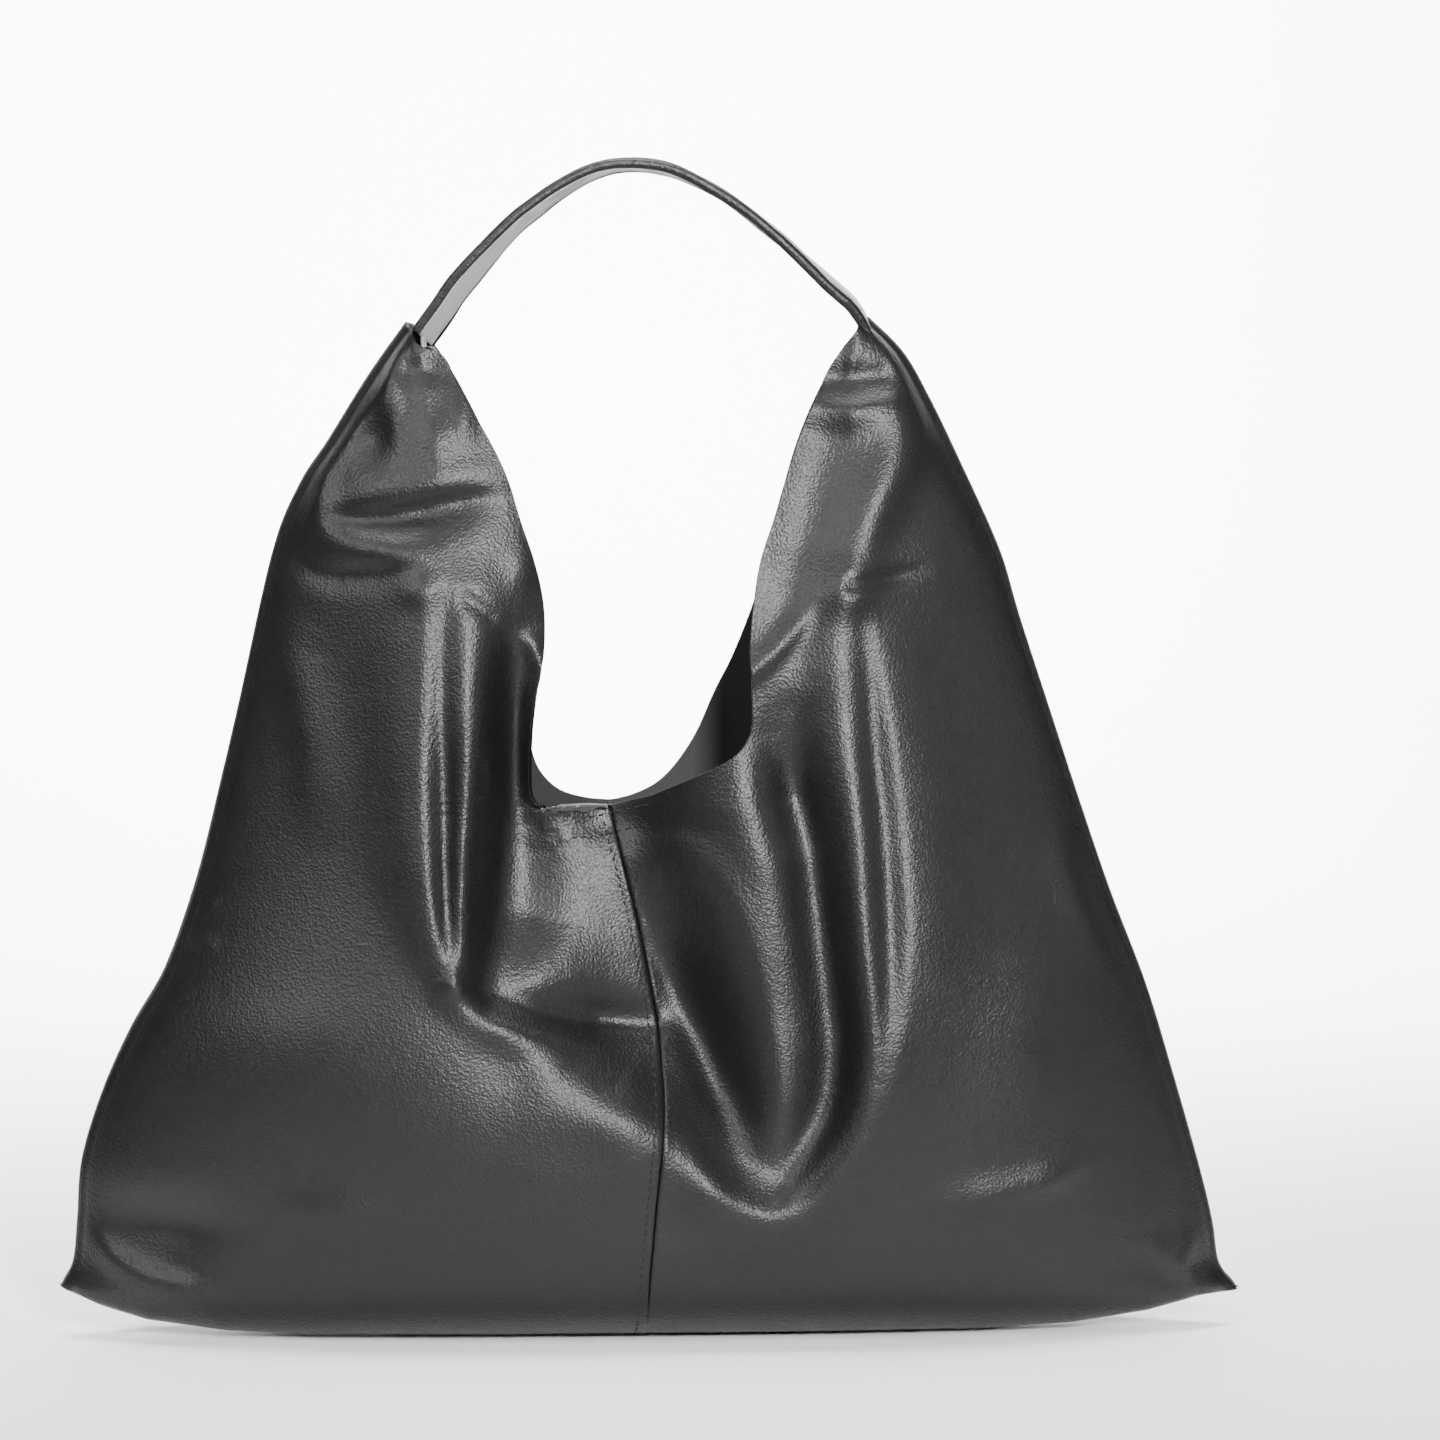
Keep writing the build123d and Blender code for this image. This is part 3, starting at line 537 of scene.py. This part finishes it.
def sew(name, runs):
    """Threads of one seam, from each stitch's start, its end and the way off the leather."""
    sizes = bpy.context.scene.bag_sizes
    bm = bmesh.new()
    for start, end, off in runs:
        along_it = Vector(end) - Vector(start)
        turn = along_it.to_track_quat("X", "Z").to_matrix().to_4x4()
        middle = (Vector(start) + Vector(end)) / 2 + Vector(off) * THREAD_LIFT * MM
        radius = sizes.thread_width / 2
        shape = Matrix.Diagonal((along_it.length / 2, radius, radius, 1))
        bmesh.ops.create_icosphere(bm, subdivisions=1, radius=1,
                                   matrix=Matrix.Translation(middle) @ turn @ shape)
    return finish_mesh(bm, name)


def stitches(face, line):
    """Stitches at an even pitch along a line of (x, s) points drawn on a face of the bag."""
    sizes = bpy.context.scene.bag_sizes
    pitch, length = sizes.stitch_pitch / MM, sizes.stitch_length / MM
    drawn = along(line, np.linspace(0, 1, 400))
    total = np.linalg.norm(np.diff(drawn, axis=0), axis=1).sum()
    middles = (np.arange(int(total / pitch)) + 0.5) * pitch / total
    runs = []
    for middle in middles:
        ends = along(line, [middle - length / 2 / total, middle + length / 2 / total])
        start, end = place(face, ends[:, 0], ends[:, 1])
        runs.append((start, end, front_of(face)))
    return runs


# ---- Materials ----
class Value:
    """A node's output that sums can be written with; each sum adds a Math node."""

    def __init__(self, paint, socket):
        self.paint = paint
        self.socket = socket

    def sum(self, operation, first, second):
        return self.paint.node("ShaderNodeMath", {"operation": operation}, {0: first, 1: second})

    def __add__(self, other):
        return self.sum("ADD", self, other)

    def __sub__(self, other):
        return self.sum("SUBTRACT", self, other)

    def __rsub__(self, other):
        return self.sum("SUBTRACT", other, self)

    def __mul__(self, other):
        return self.sum("MULTIPLY", self, other)

    __radd__ = __add__
    __rmul__ = __mul__

    def __getitem__(self, output):
        return Value(self.paint, self.socket.node.outputs[output])


class Paint:
    """A material and its nodes."""

    def __init__(self, name):
        self.material = bpy.data.materials.new(name)
        self.material.use_nodes = True
        self.nodes = self.material.node_tree.nodes
        self.links = self.material.node_tree.links
        self.shader = self.nodes["Principled BSDF"]
        self.place = self.node("ShaderNodeTexCoord", {}, {})["Object"]

    def node(self, kind, settings, sockets):
        """Adds a node with its settings, then fills its sockets with numbers, colours or links."""
        node = self.nodes.new(kind)
        for key, value in settings.items():
            setattr(node, key, value)
        for key, value in sockets.items():
            self.fill(node.inputs[key], value)
        return Value(self, node.outputs[0])

    def fill(self, socket, value):
        """Links a socket to a Value, or sets its number or colour."""
        if isinstance(value, Value):
            self.links.new(value.socket, socket)
        elif socket.type == "RGBA":
            socket.default_value = (*value, 1)
        else:
            socket.default_value = value

    def set(self, **sockets):
        """Fills the shader's own sockets; an underscore in a name stands for a space."""
        for key, value in sockets.items():
            self.fill(self.shader.inputs[key.replace("_", " ")], value)

    def noise(self, scale, detail=2.0, roughness=0.5, stretch=(1, 1, 1), distortion=0.0):
        """Cloudy pattern between 0 and 1; scale is in cycles for each metre."""
        at = self.node("ShaderNodeMapping", {}, {"Vector": self.place, "Scale": stretch})
        return self.node("ShaderNodeTexNoise", {}, {
            "Vector": at, "Scale": scale, "Detail": detail, "Roughness": roughness,
            "Distortion": distortion,
        })

    def cells(self, scale, smoothness):
        """Distance to the middle of the nearest pebble of grain."""
        sockets = {"Vector": self.place, "Scale": scale, "Smoothness": smoothness}
        return self.node("ShaderNodeTexVoronoi", {"feature": "SMOOTH_F1"}, sockets)

    def mix(self, factor, first, second):
        """Mixes two colours."""
        sockets = {0: factor, 6: first, 7: second}
        return self.node("ShaderNodeMix", {"data_type": "RGBA"}, sockets)["Result"]

    def bump(self, height, distance, strength):
        """Relief of a height pattern, with its full depth in metres."""
        sockets = {"Height": height, "Distance": distance, "Strength": strength}
        return self.node("ShaderNodeBump", {}, sockets)


def leather_paint(name, dark, light, roughness):
    """Soft grained leather: pebbles, fine creases, and a little unevenness in its colour."""
    paint = Paint(name)
    pebbles = paint.cells(820, 0.5)
    small = paint.cells(1900, 0.4)
    creases = paint.noise(260, detail=4, roughness=0.62, stretch=(1, 1, 0.45), distortion=0.6)
    cloud = paint.noise(9, detail=3)
    mottle = paint.noise(60, detail=3, roughness=0.6)
    grain = pebbles * 0.62 + small * 0.2 + creases * 0.55
    paint.set(
        Base_Color=paint.mix(cloud * 0.55 + mottle * 0.45, dark, light),
        Roughness=roughness + (mottle - 0.5) * 0.10 + pebbles * 0.08,
        Specular_IOR_Level=0.29,
        Normal=paint.bump(grain, 0.0004, 0.7),
    )
    return paint.material


def cloth_paint(name, colour, scale=2400, sheen=0.2):
    """Matt black cloth with a fine crossed weave."""
    paint = Paint(name)
    up = paint.noise(scale, detail=1, stretch=(1, 1, 0.12))
    across = paint.noise(scale, detail=1, stretch=(0.12, 0.12, 1))
    shade = paint.noise(14, detail=2)
    brighter = tuple(1.6 * c for c in colour)
    paint.set(
        Base_Color=paint.mix(shade, colour, brighter),
        Roughness=0.88,
        Sheen_Weight=sheen,
        Normal=paint.bump(up + across, 0.0002, 0.6),
    )
    return paint.material


def edge_paint(name):
    """Black edge dressing on cut leather."""
    paint = Paint(name)
    paint.set(
        Base_Color=(0.0012, 0.0012, 0.0012),
        Roughness=paint.noise(500, detail=2) * 0.2 + 0.6,
        Specular_IOR_Level=0.05,
        Normal=paint.bump(paint.noise(900, detail=2), 0.0001, 0.5),
    )
    return paint.material


def metal_paint(name, colour, roughness):
    """Plated metal with faint handling marks."""
    paint = Paint(name)
    marks = paint.noise(700, detail=3, stretch=(1, 1, 0.2))
    paint.set(
        Base_Color=paint.mix(paint.noise(120, detail=2), colour, tuple(0.8 * c for c in colour)),
        Metallic=1.0,
        Roughness=roughness + marks * 0.12,
        Normal=paint.bump(marks, 0.00002, 0.4),
    )
    return paint.material


def floor_paint(name, colour):
    """Pale matt floor."""
    paint = Paint(name)
    cloud = paint.noise(3, detail=2)
    paint.set(
        Base_Color=paint.mix(cloud, colour, tuple(0.985 * c for c in colour)),
        Roughness=0.75,
    )
    return paint.material


MATERIALS = {}


def material(name):
    """The finished material of a name, made when it is first asked for."""
    if name not in MATERIALS:
        colours = bpy.context.scene.bag_colours
        maker, *settings = {
            "leather": (leather_paint, colours.leather_dark, colours.leather_light, 0.37),
            "strap_underside": (leather_paint, colours.underside_dark, colours.underside_light, 0.62),
            "edge_dressing": (edge_paint,),
            "lining": (cloth_paint, colours.cloth),
            "pocket_cloth": (cloth_paint, colours.cloth, 1600),
            "thread": (cloth_paint, colours.thread, 3000, 0),
            "gunmetal": (metal_paint, colours.metal, 0.22),
            "steel": (metal_paint, (0.5, 0.5, 0.5), 0.35),
            "floor": (floor_paint, colours.floor),
        }[name]
        MATERIALS[name] = maker(name, *settings)
    return MATERIALS[name]


def finish_with(piece, *names):
    """Gives a piece its materials in order."""
    piece.data.materials.clear()
    for name in names:
        piece.data.materials.append(material(name))


# ---- Settings ----
class BagColours(bpy.types.PropertyGroup):
    """Colours of the bag and of the floor."""

    leather_dark: FloatVectorProperty(
        name="Leather, dark", description="Darker tone of the leather", subtype="COLOR",
        default=(0.0022, 0.0021, 0.0022),
    )
    leather_light: FloatVectorProperty(
        name="Leather, light", description="Lighter tone of the leather", subtype="COLOR",
        default=(0.0046, 0.0043, 0.0045),
    )
    underside_dark: FloatVectorProperty(
        name="Strap's underside, dark", description="Darker tone under the strap", subtype="COLOR",
        default=(0.16, 0.155, 0.155),
    )
    underside_light: FloatVectorProperty(
        name="Strap's underside, light", description="Lighter tone under the strap", subtype="COLOR",
        default=(0.30, 0.29, 0.29),
    )
    cloth: FloatVectorProperty(
        name="Cloth", description="Lining, pocket and webbing", subtype="COLOR",
        default=(0.008, 0.008, 0.009),
    )
    thread: FloatVectorProperty(
        name="Thread", description="Sewing thread", subtype="COLOR", default=(0.0009, 0.0009, 0.0009)
    )
    metal: FloatVectorProperty(
        name="Metal", description="Snap, slider and zip teeth", subtype="COLOR",
        default=(0.35, 0.34, 0.33),
    )
    floor: FloatVectorProperty(
        name="Floor", description="Floor and backdrop", subtype="COLOR", default=(0.86, 0.86, 0.86)
    )


class BagSizes(bpy.types.PropertyGroup):
    """Sizes that are the workshop's own choice."""

    stitch_pitch: FloatProperty(
        name="Stitch pitch", description="From one stitch to the next", default=4 * MM, unit="LENGTH"
    )
    stitch_length: FloatProperty(
        name="Stitch length", description="Length of the thread that shows", default=2.7 * MM,
        unit="LENGTH",
    )
    thread_width: FloatProperty(
        name="Thread width", description="Thickness of the sewing thread", default=0.9 * MM,
        unit="LENGTH",
    )
    focal_length: FloatProperty(
        name="Focal length", description="Camera's focal length in millimetres", default=100.0
    )


# ---- Pieces ----
def settle(piece, body, slot, *nodes):
    """The piece stands for its CAD nodes and moves with a body; slot is not used."""
    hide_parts(*nodes)
    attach(piece, body)


class MakePanels(bpy.types.Operator):
    """The four leather panels, with their folds, seams and dressed edges"""

    bl_idname = "bag.make_panels"
    bl_label = "Leather panels"

    def execute(self, context):
        for face in ("front", "back"):
            for side in ("left", "right"):
                node = f"{face}_panel_{side}"
                columns, rows = 130, 200
                mouth = int(rows * inner_edge(face, side)[2])
                panel = make_grid(
                    f"leather_{node}",
                    sheet_points(face, side, columns, rows),
                    front_of(face),
                    lambda row, column: column == 0 or row in (0, rows - 1)
                    or (column == columns - 1 and row >= mouth),
                )
                thicken(panel, LEATHER, rim=1, inside=2)
                finish_with(panel, "leather", "edge_dressing", "lining")
                settle(panel, "bag", "leather", node)
        return {"FINISHED"}


class MakeLinings(bpy.types.Operator):
    """The loose cloth lining inside the front and the back"""

    bl_idname = "bag.make_linings"
    bl_label = "Linings"

    def execute(self, context):
        for face in ("front", "back"):
            halves = []
            for side in ("left", "right"):
                points = sheet_points(face, side, 70, 110, LEATHER + 0.4, 0.985, 0.02)
                halves.append(make_grid(f"cloth_{face}", points, front_of(face)))
            cloth = join(*halves)
            thicken(cloth, LINING)
            finish_with(cloth, "lining")
            settle(cloth, "bag", "lining", f"lining_{face}")
        return {"FINISHED"}


def band_frames(steps):
    """Middle, outward direction, twist and half width of the strap along its length."""
    middle = along(STRAP, steps)
    ahead = np.gradient(middle, axis=0)
    ahead /= np.linalg.norm(ahead, axis=1)[:, None]
    off = np.stack((-ahead[:, 1], ahead[:, 0]), axis=1)
    return middle, off, np.radians(evenly(TWIST, steps)), evenly(BAND_WIDTH, steps) / 2


def band_points(steps, section, ripple):
    """Grid of points of a section carried along the strap; ripple adds to its heights."""
    middle, off, twist, half = band_frames(steps)
    share, height = section[:, 0][None], section[:, 1][None] + ripple
    y = share * half[:, None]
    cos, sin = np.cos(twist)[:, None], np.sin(twist)[:, None]
    rise = height * cos - y * sin
    x = middle[:, 0][:, None] + off[:, 0][:, None] * rise
    z = middle[:, 1][:, None] + off[:, 1][:, None] * rise
    return np.stack((x, y * cos + height * sin, z), axis=-1) * MM


def both_halves(half, count):
    """Smooth section from the front edge to the back edge, from one half of it."""
    line = along(half, np.linspace(0, 1, count))
    return np.concatenate((line[:0:-1] * (-1, 1), line))


class MakeStrap(bpy.types.Operator):
    """The strap: outer leather rolled round a filler, and the paler leather under it"""

    bl_idname = "bag.make_strap"
    bl_label = "Strap"

    def execute(self, context):
        steps = np.linspace(0, 1, 221)
        outer_section = both_halves(BAND_SECTION, 26)
        share = outer_section[:, 0][None]
        t = steps[:, None]
        crease = -0.5 * np.exp(-(((share + 0.72) / 0.10) ** 2)) * np.clip((t - 0.55) / 0.15, 0, 1)
        wave = 0.25 * np.sin(31 * t + 4 * share) * np.sin(13 * t + 1) + crease
        outer = make_grid("leather_strap_outer", band_points(steps, outer_section, wave), (0, 0, 1))
        thicken(outer, BAND_LEATHER, rim=1, inside=1)
        finish_with(outer, "leather", "edge_dressing")
        under_section = both_halves(UNDER_SECTION, 26)
        share = under_section[:, 0][None]
        folds = np.sin(15 * share + 9 * t + 2 * np.sin(23 * t)) + 0.6 * np.sin(31 * share - 17 * t)
        wave = 0.28 * folds * (1 - np.abs(share) ** 6)
        points = band_points(steps, under_section, wave)
        under = make_grid("leather_strap_underside", points, (0, 0, -1))
        thicken(under, UNDER_LEATHER)
        finish_with(under, "strap_underside")
        for piece, nodes in ((outer, ["strap_outer"]), (under, ["strap_core", "strap_underside"])):
            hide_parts(*nodes)
            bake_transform(piece)
        for side, ends in TONGUES.items():
            line = along(ends, np.linspace(0, 1, 31))
            share = np.linspace(-1, 1, 13)[None]
            x = line[:, 0][:, None] + 0.8 * (1 - share**2)
            y = TONGUE_HALF_WIDTH * share + 0 * x
            points = np.stack((x, y, line[:, 1][:, None] + 0 * x), axis=-1) * MM
            tongue = make_grid(f"tongue_{side}", points, (1, 0, 0))
            thicken(tongue, LEATHER, offset=0)
            finish_with(tongue, "strap_underside")
            settle(tongue, "bag", "webbing", f"strap_anchor_{side}")
        return {"FINISHED"}


def plate_points(x_range, z_range, y, corner, columns, rows, waves=0.0, top_width=None):
    """Flat cloth or leather with round lower corners; top_width narrows it towards its upper edge."""
    low, high = x_range
    middle, half = (low + high) / 2, (high - low) / 2
    x, z = np.meshgrid(np.linspace(-half, half, columns + 1), np.linspace(*z_range, rows + 1))
    u, v = np.maximum(np.abs(x) - half + corner, 0), np.maximum(z_range[0] + corner - z, 0)
    pull = np.where((u > 0) & (v > 0), np.maximum(u, v) / np.maximum(np.hypot(u, v), 1e-9), 1)
    x = np.where(u > 0, np.sign(x) * (half - corner + u * pull), x)
    z = np.where(v > 0, z_range[0] + corner - v * pull, z)
    if top_width:
        x *= 1 + (top_width / (2 * half) - 1) * (z - z_range[0]) / (z_range[1] - z_range[0])
    depth_there = y + waves * np.sin(x / 11 + 1) * np.sin(z / 14) + 0 * x
    return np.stack((middle + x, depth_there, z), axis=-1) * MM


class MakeTabs(bpy.types.Operator):
    """The two leather tabs that hold the halves of the magnetic snap"""

    bl_idname = "bag.make_tabs"
    bl_label = "Snap tabs"

    def execute(self, context):
        for node, body in (("snap_tab_front", "front_tab"), ("snap_patch_back", "bag")):
            points = plate_points(TAB_X, TAB_Z, TAB_Y[node], TAB_CORNER, 36, 32)
            tab = make_grid(f"leather_{node}", points, (0, -1, 0))
            thicken(tab, TAB_LEATHER, offset=0)
            edge = tab.modifiers.new("Round edges", "BEVEL")
            edge.width = 0.6 * MM
            edge.segments = 2
            edge.limit_method = "ANGLE"
            finish_with(tab, "leather")
            settle(tab, body, "leather", node)
        return {"FINISHED"}


class MakePocket(bpy.types.Operator):
    """The hanging pocket: its header, its two cloths and the tapes of its zip"""

    bl_idname = "bag.make_pocket"
    bl_label = "Pocket"

    def execute(self, context):
        header = plate_points(POCKET_X, HEADER_Z, HEADER_Y, SQUARE_CORNER, 60, 20, 0.0, HEADER_TOP)
        self.add("cloth_pocket_header", header, HEADER_LEATHER, "bag", "pocket_header")
        back = plate_points(
            POCKET_X, POCKET_Z, POCKET_BACK_Y, POCKET_CORNER, 80, 54, POCKET_WAVES
        )
        self.add("cloth_pocket_back", back, POCKET_CLOTH, "pocket", "pocket_back")
        front = plate_points(
            POCKET_X, POCKET_Z, POCKET_FRONT_Y, POCKET_CORNER, 158, 106, POCKET_WAVES
        )
        by_zip = np.abs(front[..., 2] / MM - ZIP_MIDDLE[1]) < FLAT_ROUND_ZIP
        front[..., 1] = np.where(by_zip, POCKET_FRONT_Y * MM, front[..., 1])
        cloth = self.add("cloth_pocket_front", front, POCKET_CLOTH, "pocket", "pocket_front")
        self.cut_slot(cloth)
        for node, span in TAPE_Z.items():
            tape = plate_points(TAPE_X, span, TAPE_Y, SQUARE_CORNER, 70, 6)
            self.add(f"cloth_{node}", tape, TAPE_CLOTH, "pocket", node)
        return {"FINISHED"}

    def add(self, name, points, thickness, body, node):
        """One sheet of the pocket, thickened, finished and tied to its node."""
        cloth = make_grid(name, points, (0, -1, 0))
        thicken(cloth, thickness, offset=0)
        finish_with(cloth, "pocket_cloth")
        settle(cloth, body, "pocket_cloth", node)
        return cloth

    def cut_slot(self, cloth):
        """Opens the cloth over the zip."""
        bm = bmesh.new()
        bm.from_mesh(cloth.data)
        inside = []
        for face in bm.faces:
            at = face.calc_center_median() / MM
            if (abs(at.x - ZIP_MIDDLE[0]) < SLOT_HALF[0]
                    and abs(at.z - ZIP_MIDDLE[1]) < SLOT_HALF[1]):
                inside.append(face)
        bmesh.ops.delete(bm, geom=inside, context="FACES")
        bm.to_mesh(cloth.data)
        bm.free()


class MakeStitches(bpy.types.Operator):
    """The topstitching beside the middle seams and the sewn box at the mouth"""

    bl_idname = "bag.make_stitches"
    bl_label = "Stitches"

    def execute(self, context):
        rows = {}
        for face in ("front", "back"):
            beside = [(x - ROW_TO_SEAM, z) for x, z in SEAM[face]]
            beside[0] = (beside[0][0], SEAM_ENDS)
            beside[-1] = (beside[-1][0], beside[-1][1] - SEAM_ENDS)
            rows[f"thread_{face}_seam"] = (face, [beside])
        for face, mouth in MOUTH_OVER_BOX.items():
            box = [[(x, z - below) for x, z in mouth] for below in BOX_BELOW_MOUTH]
            rows[f"thread_{face}_box"] = (face, box)
        for name, (face, lines) in rows.items():
            threads = sew(name, [run for line in lines for run in stitches(face, line)])
            finish_with(threads, "thread")
            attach(threads, "bag")
        return {"FINISHED"}


class FinishHardware(bpy.types.Operator):
    """The finish of the snap and the zip"""

    bl_idname = "bag.finish_hardware"
    bl_label = "Metal parts"

    finishes: bpy.props.StringProperty(
        name="Finishes", description="Finish of each metal piece, as name=finish",
        default="snap_stud=gunmetal snap_stud_washer=steel snap_socket_base=steel snap_magnet=steel "
        "snap_socket_cover=gunmetal snap_socket_washer=steel zip_teeth_upper=gunmetal "
        "zip_teeth_lower=gunmetal zip_stops=gunmetal zip_slider=gunmetal zip_pull=gunmetal",
    )

    def execute(self, context):
        for pair in self.finishes.split():
            node, finish = pair.split("=")
            finish_with(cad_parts[node], finish)
        return {"FINISHED"}


class MakeStage(bpy.types.Operator):
    """The floor, the backdrop, the lights and the camera"""

    bl_idname = "bag.make_stage"
    bl_label = "Stage"

    def execute(self, context):
        scene = context.scene
        profile = along(BACKDROP, np.linspace(0, 1, 60))
        y, z = profile[:, :1], np.maximum(profile[:, 1:], 0)
        x = np.linspace(-BACKDROP_HALF_WIDTH, BACKDROP_HALF_WIDTH, 3)[None] + 0 * y
        points = np.stack((x, y + 0 * x, z + 0 * x), axis=-1)
        floor = make_grid("floor", points, (0, -0.5, 1))
        finish_with(floor, "floor")

        world = bpy.data.worlds.new("studio")
        scene.world = world
        world.use_nodes = True
        sky = world.node_tree.nodes["Background"]
        sky.inputs["Color"].default_value = (1, 1, 1, 1)
        sky.inputs["Strength"].default_value = SKY_STRENGTH

        for name, settings in LIGHTS.items():
            add_light(name, *settings)

        azimuth, elevation = (math.radians(angle) for angle in CAMERA_ANGLES)
        back = Vector((math.sin(azimuth) * math.cos(elevation),
                       -math.cos(azimuth) * math.cos(elevation), math.sin(elevation)))
        focal_length = scene.bag_sizes.focal_length
        distance = focal_length / SENSOR * VIEW_WIDTH
        data = bpy.data.cameras.new("camera")
        data.lens = focal_length
        camera = bpy.data.objects.new("camera", data)
        scene.collection.objects.link(camera)
        camera.location = Vector(CAMERA_AIM) + back * distance
        camera.rotation_mode = "QUATERNION"
        camera.rotation_quaternion = (-back).to_track_quat("-Z", "Y")
        scene.camera = camera
        return {"FINISHED"}


def add_light(name, at, towards, size, power, spread):
    """Soft light of a width and height, aimed at a place; spread is the angle of its beam."""
    data = bpy.data.lights.new(name, "AREA")
    data.shape = "RECTANGLE"
    data.size, data.size_y = size
    data.energy = power
    data.spread = math.radians(spread)
    light = bpy.data.objects.new(name, data)
    bpy.context.scene.collection.objects.link(light)
    light.location = at
    light.rotation_mode = "QUATERNION"
    light.rotation_quaternion = (Vector(towards) - Vector(at)).to_track_quat("-Z", "Y")


class BagPanel(bpy.types.Panel):
    """Lists the bag's pieces in the sidebar"""

    bl_idname = "VIEW3D_PT_bag"
    bl_label = "Hobo bag"
    bl_space_type = "VIEW_3D"
    bl_region_type = "UI"
    bl_category = "Bag"

    def draw(self, context):
        for step in STEPS:
            self.layout.operator(step.bl_idname)


STEPS = (
    MakePanels, MakeLinings, MakeStrap, MakeTabs, MakePocket, MakeStitches, FinishHardware, MakeStage,
)
CLASSES = (BagColours, BagSizes, *STEPS, BagPanel)


def register():
    for cls in CLASSES:
        bpy.utils.register_class(cls)
    bpy.types.Scene.bag_colours = PointerProperty(type=BagColours)
    bpy.types.Scene.bag_sizes = PointerProperty(type=BagSizes)


def unregister():
    del bpy.types.Scene.bag_sizes
    del bpy.types.Scene.bag_colours
    for cls in reversed(CLASSES):
        bpy.utils.unregister_class(cls)


def main():
    """Builds every piece."""
    register()
    for step in STEPS:
        group, operator = step.bl_idname.split(".")
        getattr(getattr(bpy.ops, group), operator)()


if __name__ == "__main__":
    main()
